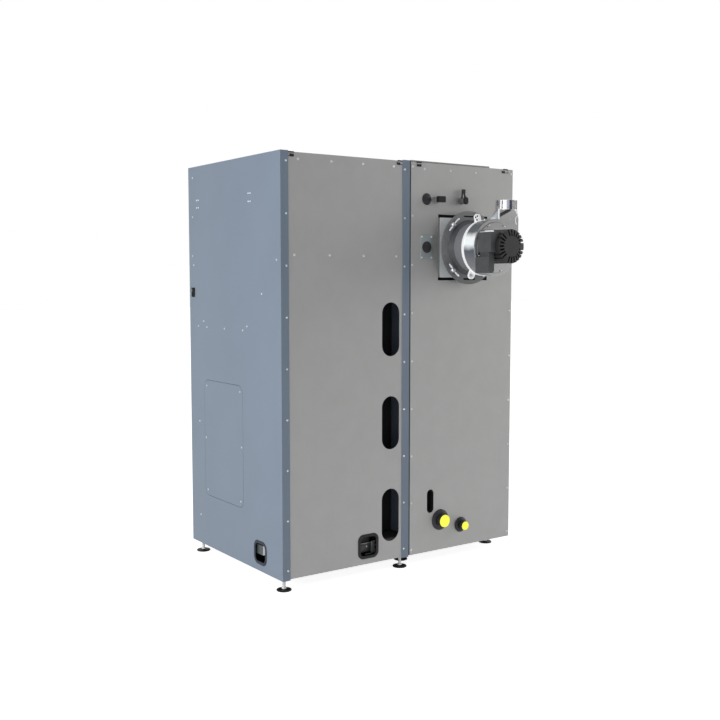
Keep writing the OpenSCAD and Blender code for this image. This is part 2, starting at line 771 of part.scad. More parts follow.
module round_plug(x, z, seat) translate([x, seat, z]) rotate([90, 0, 0]) {
    cylinder(h = plug_t, d = plug_d);
    translate([0, 0, seat - y_inside]) cylinder(h = y_inside - seat, d = plug_neck_d - 2 * pipe_gap);
}

module round_plugs() color(plastic_black) in_frame() {
    round_plug(plug_x, upper_plug_h, y_panel);
    round_plug(plug_x, fan_h, y_panel - sheet_t);
}

module sensor_connector() color(plastic_black) in_frame()
    translate([x_boiler + connector_from_side - connector_w / 2, y_panel - connector_l, upper_plug_h])
        translate([0, 0, -connector_h / 2]) cube([connector_w, connector_l, connector_h]);

module small_valve() color(plastic_black) in_frame()
    translate([x_boiler + valve_from_side, y_panel, upper_plug_h]) {
        rotate([90, 0, 0]) cylinder(h = valve_l + valve_cap_l, d = valve_d, $fn = smooth);
        translate([0, -valve_l / 2, 0]) cylinder(h = valve_stem_h, d = valve_stem_d, $fn = smooth);
    }

module bracket_plate() color(zinc) in_frame() difference() {
    block([plug_x - bracket_w / 2, 0, fan_h - bracket_h / 2],
        [plug_x + bracket_w / 2, y_panel, fan_h + bracket_h / 2]);
    on_face(plug_x, -past, fan_h, sheet_t + 2 * past) circle(d = plug_neck_d);
}

module pipe(x, z, d) translate([x, 0, z]) rotate([90, 0, 0]) difference() {
    union() {
        translate([0, 0, -y_inside]) cylinder(h = y_inside + pipe_full_y, r = d / 2 - pipe_step);
        translate([0, 0, pipe_full_y]) cylinder(h = pipe_out - pipe_plug_t - pipe_full_y, d = d);
    }
    cylinder(h = pipe_out, d = d - 2 * pipe_wall);
}

module pipe_plug(x, z, d) translate([x, pipe_plug_t - pipe_out, z]) rotate([90, 0, 0])
    cylinder(h = pipe_plug_t, d = d);

module pipe_collar(x, z, d, pipe_d) translate([x, y_panel, z]) rotate([90, 0, 0])
    rotate_extrude() polygon([[pipe_d / 2 - pipe_step + pipe_gap, 0], [d / 2, 0],
        [d / 2, collar_edge_t], [pipe_d / 2 + collar_t, collar_t],
        [pipe_d / 2 - pipe_step + pipe_gap, collar_t]]);

module large_pipe() color(inside_black) in_frame()
    pipe(large_pipe_x, z_bottom + large_pipe_z, large_pipe_d);

module small_pipe() color(inside_black) in_frame()
    pipe(small_pipe_x, z_bottom + small_pipe_z, small_pipe_d);

module large_pipe_collar() color(plastic_black) in_frame()
    pipe_collar(large_pipe_x, z_bottom + large_pipe_z, large_collar_d, large_pipe_d);

module small_pipe_collar() color(plastic_black) in_frame()
    pipe_collar(small_pipe_x, z_bottom + small_pipe_z, small_collar_d, small_pipe_d);

module pipe_plugs() color(plug_yellow) in_frame() {
    pipe_plug(large_pipe_x, z_bottom + large_pipe_z, large_pipe_d);
    pipe_plug(small_pipe_x, z_bottom + small_pipe_z, small_pipe_d);
}

// ---- feet and clips ----

feet = concat(
    [for (x = [foot_side, hopper_w - foot_side], y = [foot_rear, casing_d - foot_front]) [x, y]],
    [for (x = [x_boiler + boiler_foot_side, x_end - boiler_foot_side],
        y = [boiler_foot_rear, casing_d - foot_front]) [x, y]]);

module foot_pads() color(plastic_black) in_frame() for (p = feet) translate(p)
    rotate_extrude($fn = smooth) polygon([[0, 0], [pad_d / 2, 0], [pad_d / 2, pad_edge_h],
        [pad_top_d / 2, pad_mid_h], [0, pad_mid_h]]);

module foot_stems() color(zinc) in_frame() for (p = feet)
    translate([p[0], p[1], pad_mid_h]) cylinder(h = z_panel - pad_mid_h, d = stem_d, $fn = smooth);

module top_clips() color(plastic_black) in_frame() for (x = concat(left_clips, right_clips))
    block([x - clip_w / 2, y_panel, z_panel_top - clip_h],
        [x + clip_w / 2, y_inside, z_panel_top - clip_drop]);

left_side_panel();
side_access_cover();
side_cable_frame();
side_latch();
left_rear_panel();
rear_cable_frame();
left_inner_panel();
left_top_cover();
left_front_panel();
left_base();
pellet_hopper();
feed_gearmotor();
feed_duct();
joining_strip();
right_rear_panel();
right_inner_panel();
right_side_panel();
right_top_cover();
right_top_strip();
right_front_panel();
right_base();
boiler_body();
flue_box();
fan_mounting_disc();
fan_inlet_cone();
housing_rim();
fan_housing();
outlet_spigot();
motor_body();
motor_end();
terminal_box();
connector_box();
wing_nuts();
round_plugs();
sensor_connector();
small_valve();
bracket_plate();
large_pipe();
large_pipe_collar();
small_pipe();
small_pipe_collar();
pipe_plugs();
foot_pads();
foot_stems();
top_clips();
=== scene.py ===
# %% [markdown]
# # A pellet boiler, dressed in Blender
# The solids of a pellet boiler come from a CAD model: two sheet-steel modules on levelling
# feet, a flue fan, water pipe ends and cable openings. This lesson gives each solid a
# finish, softens its edges, and makes anew what is too fine for the solids, like screws,
# wing nuts, rolled edges and threads.

# %% Load the frame
import math

import bmesh
import bpy
from mathutils import Matrix, Vector


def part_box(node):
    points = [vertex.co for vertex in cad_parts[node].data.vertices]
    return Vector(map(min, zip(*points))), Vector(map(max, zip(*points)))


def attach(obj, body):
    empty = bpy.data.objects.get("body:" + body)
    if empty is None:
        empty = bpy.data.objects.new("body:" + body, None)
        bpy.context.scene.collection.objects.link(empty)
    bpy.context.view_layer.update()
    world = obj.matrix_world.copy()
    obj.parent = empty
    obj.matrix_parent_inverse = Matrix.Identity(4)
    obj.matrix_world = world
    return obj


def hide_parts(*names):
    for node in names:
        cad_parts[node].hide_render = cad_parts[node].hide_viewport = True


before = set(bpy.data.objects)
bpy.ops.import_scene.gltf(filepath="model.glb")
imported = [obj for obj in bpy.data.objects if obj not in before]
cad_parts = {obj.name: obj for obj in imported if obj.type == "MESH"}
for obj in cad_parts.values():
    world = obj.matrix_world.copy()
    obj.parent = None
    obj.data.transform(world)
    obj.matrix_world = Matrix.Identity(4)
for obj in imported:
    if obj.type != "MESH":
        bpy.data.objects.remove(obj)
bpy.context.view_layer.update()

# %% [markdown]
# All small parts are placed from one lower corner of the casing, where the left side meets
# the connection face. Sizes are in millimetres from that corner, x along the
# connection face, y into the machine and z up. The fan's own places are x and z from its
# axis, and s outwards from the casing.

# %% Places on the machine
MM = 0.001
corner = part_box("left_side_panel")[0]
motor_low, motor_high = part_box("motor_body")
fan_x = ((motor_low.x + motor_high.x) / 2 - corner.x) / MM
fan_z = ((motor_low.z + motor_high.z) / 2 - corner.z) / MM
floor_z = -corner.z / MM
LEFT, REAR, UP = Vector((-1, 0, 0)), Vector((0, -1, 0)), Vector((0, 0, 1))


def at(x, y, z):
    return corner + Vector((x, y, z)) * MM


def on_fan(x, z, s):
    return at(fan_x + x, -s, fan_z + z)


print("fan axis at x", round(fan_x, 1), "z", round(fan_z, 1), "floor at z", round(floor_z, 1))

# %% [markdown]
# ## A short way to write node trees
# Blender's materials and Geometry Nodes are both trees of nodes. One small class wraps a
# node's output socket, so that sums on it are written as ordinary Python, and one method
# makes any other node from its type, its settings and what goes into its sockets.


# %% Sockets with operators
class Wire:
    def __init__(self, bench, socket):
        self.bench, self.socket = bench, socket

    def __add__(self, other):
        return self.bench.sum("ADD", self, other)

    def __sub__(self, other):
        return self.bench.sum("SUBTRACT", self, other)

    def __mul__(self, other):
        return self.bench.sum("MULTIPLY", self, other)

    def __radd__(self, other):
        return self.bench.sum("ADD", other, self)

    def __rsub__(self, other):
        return self.bench.sum("SUBTRACT", other, self)

    def __rmul__(self, other):
        return self.bench.sum("MULTIPLY", other, self)


class Bench:
    def __init__(self, tree):
        self.tree = tree

    def sum(self, operation, first, second):
        return self.node("ShaderNodeMath", {"operation": operation}, {0: first, 1: second})

    def node(self, kind, settings=None, inputs=None, out=0):
        made = self.tree.nodes.new(kind)
        for name, value in (settings or {}).items():
            if name == "stops":
                while len(made.color_ramp.elements) < len(value):
                    made.color_ramp.elements.new(1.0)
                for stop, (place, shade) in zip(made.color_ramp.elements, value):
                    stop.position, stop.color = place, (*shade, 1)
            else:
                setattr(made, name, value)
        for name, value in (inputs or {}).items():
            self.join(value, made.inputs[name])
        return Wire(self, made.outputs[out])

    def join(self, value, socket):
        if isinstance(value, Wire):
            self.tree.links.new(value.socket, socket)
        else:
            socket.default_value = value


# %% [markdown]
# ## Finishes
# A finish is a Principled shader with fixed numbers on its own sockets, plus a little
# variation that follows the object's own coordinates: broad tone changes, fine grain in the
# roughness, and a small bump. Powder coat has an orange-peel bump, moulded plastic a fine
# grain, and rolled or drawn sheet has faint lines along its rolling direction. A few bright
# parts carry a faint glow of their own colour, which stands in for what they would mirror.


# %% The finish maker
class Finish(Bench):
    def __init__(self, name, **numbers):
        self.material = bpy.data.materials.new(name)
        self.material.use_nodes = True
        super().__init__(self.material.node_tree)
        self.shader = self.tree.nodes["Principled BSDF"]
        for socket, value in numbers.items():
            self.shader.inputs[socket.replace("_", " ")].default_value = value
        self.place = self.node("ShaderNodeTexCoord", out="Object")

    def noise(self, size, stretch=(1, 1, 1), detail=2.0):
        spots = self.node("ShaderNodeMapping", {}, {"Vector": self.place, "Scale": stretch})
        return self.node("ShaderNodeTexNoise", {}, {"Vector": spots, "Scale": 1 / (size * MM),
                                                    "Detail": detail})

    def ramp(self, mask, stops):
        return self.node("ShaderNodeValToRGB", {"stops": stops}, {"Fac": mask})

    def shade(self, mask, dark, light):
        self.feed("Base Color", self.ramp(mask, ((0.3, dark), (0.7, light))))

    def feed(self, socket, wire):
        self.tree.links.new(wire.socket, self.shader.inputs[socket])

    def bump(self, height, depth, strength=1.0):
        self.feed("Normal", self.node("ShaderNodeBump", {}, {"Height": height, "Strength": strength,
                                                             "Distance": depth * MM}))

    def brush(self, roughness, stretch, size, cut):
        lines = self.noise(size, stretch)
        self.feed("Roughness", lines * 0.16 + (roughness - 0.08))
        self.bump(lines, 0.02, cut)


def tints(colour, spread):
    return [c * (1 - spread) for c in colour], [c * (1 + spread) for c in colour]


def painted(name, colour, roughness=0.42, spread=0.03, peel=0.05):
    coat = Finish(name)
    coat.shade(coat.noise(260), *tints(colour, spread))
    coat.feed("Roughness", coat.noise(6) * 0.12 + (roughness - 0.06))
    coat.bump(coat.noise(1.6), peel, 0.25)
    return coat.material


def moulded(name, colour, roughness=0.5, grain=0.04, shine=0.5, glow=0.0):
    plastic = Finish(name, Specular_IOR_Level=shine, Emission_Color=(*colour, 1),
                     Emission_Strength=glow)
    plastic.shade(plastic.noise(30), *tints(colour, 0.12))
    plastic.feed("Roughness", plastic.noise(3) * 0.16 + (roughness - 0.08))
    plastic.bump(plastic.noise(0.7), grain, 0.3)
    return plastic.material


def metal(name, colour, roughness=0.3, stretch=(1, 1, 1), size=2.0, spread=0.06, metallic=1.0,
          cut=0.2, glow=0.0):
    sheet = Finish(name, Metallic=metallic, Emission_Color=(*colour, 1), Emission_Strength=glow)
    sheet.shade(sheet.noise(60), *tints(colour, spread))
    sheet.brush(roughness, stretch, size, cut)
    return sheet.material


ROLLED, TURNED = (1, 1, 0.06), (0.03, 1, 0.03)


def rolled(name, colour):
    return metal(name, colour, 0.55, ROLLED, 3.0, spread=0.02, metallic=0.5)


# %% The finishes of this machine
finish = {
    "painted_blue": painted("powder_coat_blue_grey", (0.236, 0.300, 0.392)),
    "painted_grey": rolled("rolled_steel_sheet", (0.436, 0.436, 0.436)),
    # A darker copy of the rolled sheet: painted shade on the right top cover.
    "cover_grey_painted_shade": rolled("top_cover_sheet", (0.26, 0.26, 0.255)),
    # A darker copy of the blue paint: painted shade in the gap between the two modules.
    "seam_grey": painted("seam_strip_paint", (0.07, 0.09, 0.11)),
    "gearmotor_black": painted("gearmotor_paint", (0.035, 0.035, 0.038), 0.38),
    "pipe_black": painted("pipe_black_paint", (0.03, 0.03, 0.032), 0.3),

    # Black for the closed insides is painted shade: the dark inside the casing.
    "inside_black": moulded("inside_black", (0.006, 0.006, 0.007), 0.75),
    # Black for small holes and the cover's groove is painted shade.
    "hole_shade_black": moulded("screw_hole_black", (0.004, 0.004, 0.004), 0.8),
    "motor_black": moulded("motor_paint", (0.024, 0.024, 0.025), grain=0.08, shine=0.4),
    "box_plastic": moulded("dark_grey_box_plastic", (0.070, 0.074, 0.078)),
    "terminal_plastic": moulded("terminal_box_plastic", (0.098, 0.104, 0.110)),
    "black_plastic": moulded("black_moulded_plastic", (0.014, 0.014, 0.016), 0.45, shine=0.25),
    "black_rubber": moulded("black_rubber", (0.050, 0.050, 0.056), 0.35, shine=0.2),
    "frame_rubber": moulded("matt_frame_rubber", (0.029, 0.027, 0.026), 0.6, shine=0.25),
    "side_rubber": moulded("matt_side_rubber", (0.042, 0.050, 0.070), 0.6, shine=0.25),
    "valve_grey": moulded("grey_valve_plastic", (0.180, 0.186, 0.184), 0.45, shine=0.3),
    "latch_black": moulded("latch_plastic", (0.008, 0.009, 0.011), 0.55, shine=0.08),
    "knob_grey": moulded("grey_knob_plastic", (0.17, 0.17, 0.19), 0.4),
    # The caps' glow is painted light, making them brighter than the lamps do.
    "yellow_plastic": moulded("yellow_shipping_cap", (0.96, 0.96, 0.07), 0.4, glow=0.62),

    # The flue box's pale colour and glow are painted light, brightening it where the disc shades
    # it.
    "flue_plate_painted_light": metal("flue_box_sheet", (0.80, 0.83, 0.84), 0.5, metallic=0.0, glow=0.075),
    "duct_sheet": metal("duct_sheet", (0.076, 0.092, 0.095), 0.45, metallic=0.3),
    "seam_steel": metal("seam_steel", (0.30, 0.30, 0.31), 0.6, size=3.0, spread=0.05, metallic=0.0),
    "bead_steel": metal("rolled_bead_steel", (0.30, 0.31, 0.32), 0.2, size=4.0, spread=0.04),
    "spigot_chrome": metal("bright_drawn_tube", (0.96, 0.965, 0.98), 0.12, size=6.0, spread=0.01,
                           cut=0.0),
    # White with a glow is a painted highlight: on the rim, the neck's edges, the white strips and
    # the rivets.
    "white_painted_highlight": metal("bright_rolled_rim", (0.97, 0.98, 0.99), 0.35, spread=0.01, metallic=0.0,
                       glow=0.30),
    "bracket_zinc": metal("bracket_zinc_plate", (0.37, 0.41, 0.42), 0.4, size=3.0, spread=0.05,
                          metallic=0.5),
    "screw_zinc": metal("screw_zinc", (0.62, 0.64, 0.66), 0.4),
    "foot_zinc": metal("foot_zinc_plate", (0.86, 0.87, 0.88), 0.35, metallic=0.3),
    "clip_grey": metal("clip_spring_steel", (0.34, 0.36, 0.385), 0.4, spread=0.04, metallic=0.7),
    "dull_screw": metal("dull_panel_screw", (0.66, 0.66, 0.66), 0.5, metallic=0.7),
}
print(len(finish), "finishes of one tone")

# %% [markdown]
# ## Finishes with painted light
# Bright sheet shows what stands around it, and three pieces of the fan have part of that painted
# into their own colour as painted reflection, light and shade. The inlet cone is painted dark where
# it slopes and light behind. The mounting disc is painted palest a little below its middle. The
# fan housing has a painted pale reflection on its left shoulder and a painted dark band where its
# neck meets the spigot. Each tone comes from a colour ramp, and what runs along the ramp comes
# from the piece's own coordinates.


# %% How far along, and the least of several
# The ramp paints reflection, light and shade into the base colour.
def toned(name, stops, mask_of, metallic, roughness, stretch=(1, 1, 1), size=3.0, cut=0.2):
    sheet = Finish(name, Metallic=metallic)
    mask = mask_of(sheet) + (sheet.noise(30) - 0.5) * 0.06
    sheet.feed("Base Color", sheet.ramp(mask, stops))
    sheet.brush(roughness, stretch, size, cut)
    return sheet.material


def part_way(sheet, axis, start, reach):
    place = sheet.node("ShaderNodeSeparateXYZ", {}, {0: sheet.place}, out=axis)
    return (place - start) * (1 / (reach * MM))


def least(sheet, *wires):
    low = wires[0]
    for wire in wires[1:]:
        low = sheet.node("ShaderNodeMath", {"operation": "MINIMUM", "use_clamp": True},
                         {0: low, 1: wire})
    return low


def size_of(sheet, wire):
    return sheet.node("ShaderNodeMath", {"operation": "ABSOLUTE"}, {0: wire})


# %% Cone and disc
CONE_FOOT, CONE_SLOPE, DISC_R = 52, -4, 140
# Painted reflection: dark on the cone's slope, light behind; painted light on the disc, palest
# below its middle.
CONE_STOPS = ((0.3, (0.061, 0.065, 0.070)), (0.7, (0.30, 0.31, 0.325)))
DISC_STOPS = ((0.07, (0.158, 0.163, 0.167)), (0.40, (0.278, 0.288, 0.295)),
              (0.95, (0.243, 0.250, 0.255)))


def past_the_slope(sheet):
    return part_way(sheet, "Y", on_fan(0, 0, CONE_FOOT).y, CONE_SLOPE)


def up_the_disc(sheet):
    return part_way(sheet, "Z", on_fan(0, -DISC_R, 0).z, 2 * DISC_R)


finish["cone_painted_light"] = toned("inlet_cone_steel", CONE_STOPS, past_the_slope, 0.15, 0.45)
finish["disc_painted_light"] = toned("mounting_disc_steel", DISC_STOPS, up_the_disc, 0.25, 0.5)

# %% Painted shoulder and dark band of the housing
SHOULDER_X, SHOULDER_Z, NECK_FRONT = 27, 103, 150
DARK_BAND_X, DARK_BAND_Z, DARK_BAND_SLOPE, DARK_BAND_HALF_X, DARK_BAND_HALF_Z = 50, 130, 0.47, 29, 8
STEEL = (0.46, 0.462, 0.465)
# Painted reflection on the housing: a dark band under the spigot and a pale left shoulder.
HOUSING_STOPS = ((0.08, (0.05, 0.045, 0.05)), (0.38, STEEL), (0.62, STEEL),
                 (0.92, (0.86, 0.92, 0.98)))


def painted_shoulder_and_band(sheet):
    left = part_way(sheet, "X", on_fan(SHOULDER_X, 0, 0).x, -5)
    high = part_way(sheet, "Z", on_fan(0, SHOULDER_Z, 0).z, 4)
    across = part_way(sheet, "X", on_fan(DARK_BAND_X, 0, 0).x, 1)
    up = part_way(sheet, "Z", on_fan(0, DARK_BAND_Z, 0).z, 1)
    front = part_way(sheet, "Y", on_fan(0, 0, NECK_FRONT).y, -4)
    dark_band = DARK_BAND_HALF_Z - size_of(sheet, up - across * DARK_BAND_SLOPE)
    pale = least(sheet, left, high)
    dark = least(sheet, dark_band * 0.5, (DARK_BAND_HALF_X - size_of(sheet, across)) * 0.3, front)
    return pale * 0.5 - dark * 0.5 + 0.5


finish["housing_painted_reflection"] = toned("turned_housing_steel", HOUSING_STOPS, painted_shoulder_and_band, 0.6, 0.24,
                                TURNED, 0.5, 0.8)
print(len(finish), "finishes with the toned ones")

# %% [markdown]
# ## Edges
# No real sheet or moulding has knife edges. A CAD node arrives as loose triangles, so a copy
# of it is merged, its flat areas are cleaned, and a narrow bevel is put on the sharp edges.
# The bevel also sets the normals, so that big flat sheets stay flat to the eye. New shapes
# are built, bevelled and added in the same way.


# %% Make a piece
SHARP = math.radians(32)


def put(name, data):
    placed = bpy.data.objects.new(name, data)
    bpy.context.scene.collection.objects.link(placed)
    return placed


def add_piece(name, mesh, look, slot, *nodes):
    piece = put(name, mesh)
    mesh.materials.clear()
    mesh.materials.append(finish[look])
    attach(piece, "root")
    if nodes:
        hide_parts(*nodes)
    print(f"{name}: {len(mesh.polygons)} faces")
    return piece


def mesh_from(name, build):
    mesh = bpy.data.meshes.new(name)
    shape = bmesh.new()
    build(shape)
    bmesh.ops.remove_doubles(shape, verts=shape.verts, dist=1e-6)
    bmesh.ops.recalc_face_normals(shape, faces=shape.faces)
    shape.to_mesh(mesh)
    shape.free()
    mesh.shade_smooth()
    mesh.set_sharp_from_angle(angle=SHARP)
    return mesh


# %% Soften edges
def bevelled(mesh, width, segments=2):
    for edge in mesh.edges:
        edge.use_edge_sharp = False
    holder = put("holder", mesh)
    edge = holder.modifiers.new("edge", "BEVEL")
    edge.width, edge.segments = width * MM, segments
    edge.limit_method, edge.angle_limit = "ANGLE", SHARP
    even = holder.modifiers.new("even", "WEIGHTED_NORMAL")
    even.mode, even.weight = "FACE_AREA", 100
    graph = bpy.context.evaluated_depsgraph_get()
    done = bpy.data.meshes.new_from_object(holder.evaluated_get(graph))
    bpy.data.objects.remove(holder)
    return done


def soften(node, look, slot, width):
    def build(shape):
        shape.from_mesh(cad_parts[node].data)
        bmesh.ops.remove_doubles(shape, verts=shape.verts, dist=1e-5)
        bmesh.ops.dissolve_limit(shape, angle_limit=math.radians(0.5), verts=shape.verts,
                                 edges=shape.edges)

    mesh = bevelled(mesh_from(node, build), width)
    return add_piece(node + "_piece", mesh, look, slot, node)


def make(name, build, width, look, slot, *nodes, segments=2):
    mesh = mesh_from(name, build)
    if width:
        mesh = bevelled(mesh, width, segments)
    return add_piece(name, mesh, look, slot, *nodes)


# %% [markdown]
# ## The casing
# The side and front panels and the access cover are powder-coated steel sheet. The rear
# panels and the top covers are plain rolled sheet. Each one gets its finish and a thin
# softened edge.

# %% Soften the casing
CASING = {
    "left_side_panel": ("painted_blue", "painted_blue", 0.7),
    "side_access_cover": ("painted_blue", "painted_blue", 0.5),
    "left_inner_panel": ("painted_blue", "painted_blue", 0.7),
    "left_front_panel": ("painted_blue", "painted_blue", 2.0),
    "right_side_panel": ("painted_blue", "painted_blue", 0.7),
    "right_inner_panel": ("painted_blue", "painted_blue", 0.5),
    "right_front_panel": ("painted_blue", "painted_blue", 2.0),
    "left_rear_panel": ("painted_grey", "painted_grey", 0.4),
    "right_rear_panel": ("painted_grey", "painted_grey", 0.4),
    "left_top_cover": ("painted_grey", "painted_grey", 1.0),
    # The right top cover's darker grey is painted shade.
    "right_top_cover": ("cover_grey_painted_shade", "painted_grey", 1.0),
    "right_top_strip": ("painted_grey", "painted_grey", 0.8),
    # The joining strip's dark blue-grey is painted shade.
    "joining_strip": ("seam_grey", "seam_grey", 0.6),
}
for node, (look, slot, width) in CASING.items():
    soften(node, look, slot, width)
print("softened", len(CASING), "sheets")

# %% [markdown]
# The closed insides only show through the slots and the bases only from below, so they keep
# their CAD mesh and get a black finish, which is painted shade for the dark inside the casing.

# %% Finish the insides
INSIDES = ("left_base", "right_base", "pellet_hopper", "boiler_body")
for node in INSIDES:
    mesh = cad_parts[node].data
    mesh.materials.clear()
    mesh.materials.append(finish["inside_black"])
print("finished", len(INSIDES), "insides")

# %% [markdown]
# ## Solids whose shape is already right
# Boxes, brackets and the fan's sheet parts keep the CAD shape and only need softer edges.
# Flat sheet and pipe ends get a narrow bevel, the moulded boxes and the drawn fan housing a
# wide one.

# %% Soften the small solids
SMALL = {
    "flue_box": ("flue_plate_painted_light", "zinc", 1.2),
    "bracket_plate": ("bracket_zinc", "zinc", 0.5),
    "fan_mounting_disc": ("disc_painted_light", "flange_grey", 0.8),
    "fan_inlet_cone": ("cone_painted_light", "flange_grey", 1.0),
    "housing_rim": ("white_painted_highlight", "bright_steel", 0.8),
    "fan_housing": ("housing_painted_reflection", "bright_steel", 2.4),
    "outlet_spigot": ("spigot_chrome", "bright_steel", 0.6),
    "motor_body": ("motor_black", "motor_black", 0.7),
    "motor_end": ("motor_black", "motor_black", 0.7),
    "terminal_box": ("terminal_plastic", "black_plastic", 3.0),
    "connector_box": ("box_plastic", "black_plastic", 2.5),
    "large_pipe": ("pipe_black", "pipe_black", 0.5),
    "small_pipe": ("pipe_black", "pipe_black", 0.5),
    "pipe_plugs": ("yellow_plastic", "yellow_plastic", 0.5),
}
for node, (look, slot, width) in SMALL.items():
    soften(node, look, slot, width)
print("softened", len(SMALL), "small solids")

# %% [markdown]
# ## Three ways to make a new shape
# What was turned on a lathe or moulded round is drawn as a half section and revolved. What
# was cut from sheet is an outline given a thickness. Small brackets are blocks. Each is drawn
# in millimetres in its own plane and then put in place: facing out of the connection face,
# facing out of the left side, or standing upright.


# %% Planes to draw in
def outward(place):
    turn = Matrix(((1, 0, 0), (0, 0, -1), (0, 1, 0))).to_4x4()
    return Matrix.Translation(place) @ turn @ Matrix.Scale(MM, 4)


def leftward(place):
    turn = Matrix(((0, 0, -1), (-1, 0, 0), (0, 1, 0))).to_4x4()
    return Matrix.Translation(place) @ turn @ Matrix.Scale(MM, 4)


def upright(place):
    return Matrix.Translation(place) @ Matrix.Scale(MM, 4)


ALONE = upright(Vector((0, 0, 0)))


# %% Lathe
def lathe(shape, section, place, segments=48, ring=False, recess=None):
    rows = []
    for radius, height in section:
        row = []
        for i in range(segments):
            angle = 2 * math.pi * i / segments
            reach = recess(i, radius) if recess else radius
            row.append(shape.verts.new(place @ Vector((reach * math.cos(angle),
                                                       reach * math.sin(angle), height))))
            if radius == 0:
                row = row * segments
                break
        rows.append(row)
    for lower, upper in list(zip(rows, rows[1:])) + ([(rows[-1], rows[0])] if ring else []):
        for i in range(segments):
            j = (i + 1) % segments
            corners = [lower[i], lower[j], upper[j], upper[i]]
            corners = [v for k, v in enumerate(corners) if v not in corners[:k]]
            if len(corners) > 2:
                shape.faces.new(corners)


# %% Slab and block
def slab(shape, outline, low, high, place):
    bottom = [shape.verts.new(place @ Vector((x, y, low))) for x, y in outline]
    top = [shape.verts.new(place @ Vector((x, y, high))) for x, y in outline]
    shape.faces.new(bottom)
    shape.faces.new(top)
    for i in range(len(outline)):
        j = (i + 1) % len(outline)
        shape.faces.new((bottom[i], bottom[j], top[j], top[i]))


def block(shape, low, high, place):
    (x0, y0, z0), (x1, y1, z1) = low, high
    slab(shape, ((x0, y0), (x1, y0), (x1, y1), (x0, y1)), z0, z1, place)


def rounded(width, height, radius, steps=8, middle=(0, 0)):
    points = []
    for quarter, (sx, sy) in enumerate(((1, 1), (-1, 1), (-1, -1), (1, -1))):
        for i in range(steps + 1):
            angle = math.pi / 2 * (quarter + i / steps)
            points.append((middle[0] + sx * (width / 2 - radius) + radius * math.cos(angle),
                           middle[1] + sy * (height / 2 - radius) + radius * math.sin(angle)))
    return points


# %% [markdown]
# ## One tree that repeats a shape
# Screws, rivets, wing nuts and feet are one shape set many times. This Geometry Nodes tree
# puts a given shape on every point of a mesh of loose points. Each point may carry its own
# turn about the facing direction. The result is made real, as instances are lost on export.


# %% Start, end and run a tree
def new_tree(name, inputs):
    tree = bpy.data.node_groups.new(name, "GeometryNodeTree")
    tree.interface.new_socket("Geometry", in_out="OUTPUT", socket_type="NodeSocketGeometry")
    tree.interface.new_socket("Geometry", in_out="INPUT", socket_type="NodeSocketGeometry")
    for label, (kind, value) in inputs.items():
        socket = tree.interface.new_socket(label, in_out="INPUT", socket_type="NodeSocket" + kind)
        if value is not None:
            socket.default_value = value
    bench = Bench(tree)
    entry = tree.nodes.new("NodeGroupInput")
    bench.given = {s.name: Wire(bench, s) for s in entry.outputs if s.name}
    return bench


def finish_tree(bench, geometry):
    real = bench.node("GeometryNodeRealizeInstances", {}, {0: geometry})
    dressed = bench.node("GeometryNodeSetMaterial", {},
                         {0: real, "Material": bench.given["Material"]})
    bench.join(dressed, bench.tree.nodes.new("NodeGroupOutput").inputs[0])
    return bench.tree


def run_tree(name, seed_mesh, tree, values):
    seed = put(name + "_seed", seed_mesh)
    nodes = seed.modifiers.new("nodes", "NODES")
    nodes.node_group = tree
    sockets = {s.name: s.identifier for s in tree.interface.items_tree if s.in_out == "INPUT"}
    for label, value in values.items():
        nodes[sockets[label]] = value
    graph = bpy.context.evaluated_depsgraph_get()
    grown = bpy.data.meshes.new_from_object(seed.evaluated_get(graph))
    bpy.data.objects.remove(seed)
    return grown


# %% The repeating tree
def repeat_tree():
    bench = new_tree("repeat_a_shape", {"Shape": ("Object", None), "Facing": ("Vector", (0, 0, 1)),
                                        "Size": ("Float", 1.0), "Material": ("Material", None)})
    shape = bench.node("GeometryNodeObjectInfo", {}, {"Object": bench.given["Shape"]},
                       out="Geometry")
    face = bench.node("FunctionNodeAlignRotationToVector", {"axis": "Z"},
                      {"Vector": bench.given["Facing"]})
    own = bench.node("GeometryNodeInputNamedAttribute", {"data_type": "FLOAT"}, {"Name": "turn"})
    spin = bench.node("FunctionNodeAxisAngleToRotation", {}, {"Axis": (0, 0, 1), "Angle": own})
    both = bench.node("FunctionNodeRotateRotation", {"rotation_space": "LOCAL"},
                      {"Rotation": face, "Rotate By": spin})
    spots = bench.node("GeometryNodeMeshToPoints", {}, {0: bench.given["Geometry"]})
    heads = bench.node("GeometryNodeInstanceOnPoints", {}, {
        "Points": spots, "Instance": shape, "Rotation": both, "Scale": bench.given["Size"]})
    return finish_tree(bench, heads)


repeating = repeat_tree()


def repeat(name, shape_mesh, points, look, slot, facing=UP, turns=None, size=1.0, nodes=()):
    seed = bpy.data.meshes.new(name)
    seed.from_pydata([tuple(p) for p in points], [], [])
    own = seed.attributes.new("turn", "FLOAT", "POINT")
    own.data.foreach_set("value", turns or [0.0] * len(points))
    pattern = put(name + "_pattern", shape_mesh)
    grown = run_tree(name, seed, repeating, {"Shape": pattern, "Facing": facing, "Size": size,
                                             "Material": finish[look]})
    bpy.data.objects.remove(pattern)
    return add_piece(name, grown, look, slot, *nodes)


# %% [markdown]
# ## Screws
# The sheets are held by rows of pan-head screws with a cross recess. One head is turned with
# its recess pressed in, and the tree sets it along the flanges, across the rear panels and
# in small groups on the side, where brackets are fixed inside. Small rivets and one socket
# screw are turned in the same way.


# %% Screw and rivet heads
RECESS_R = 2.0


def cross(i, radius):
    return radius if radius > RECESS_R or i % 4 == 0 else radius * 0.42


def screw_head(shape):
    lathe(shape, ((0, 0.5), (1.7, 0.7), (1.9, 1.75), (2.4, 1.7), (3.4, 1.35), (3.9, 0.6),
                  (4.0, 0.1), (4.0, -0.3), (0, -0.3)), ALONE, 16, recess=cross)


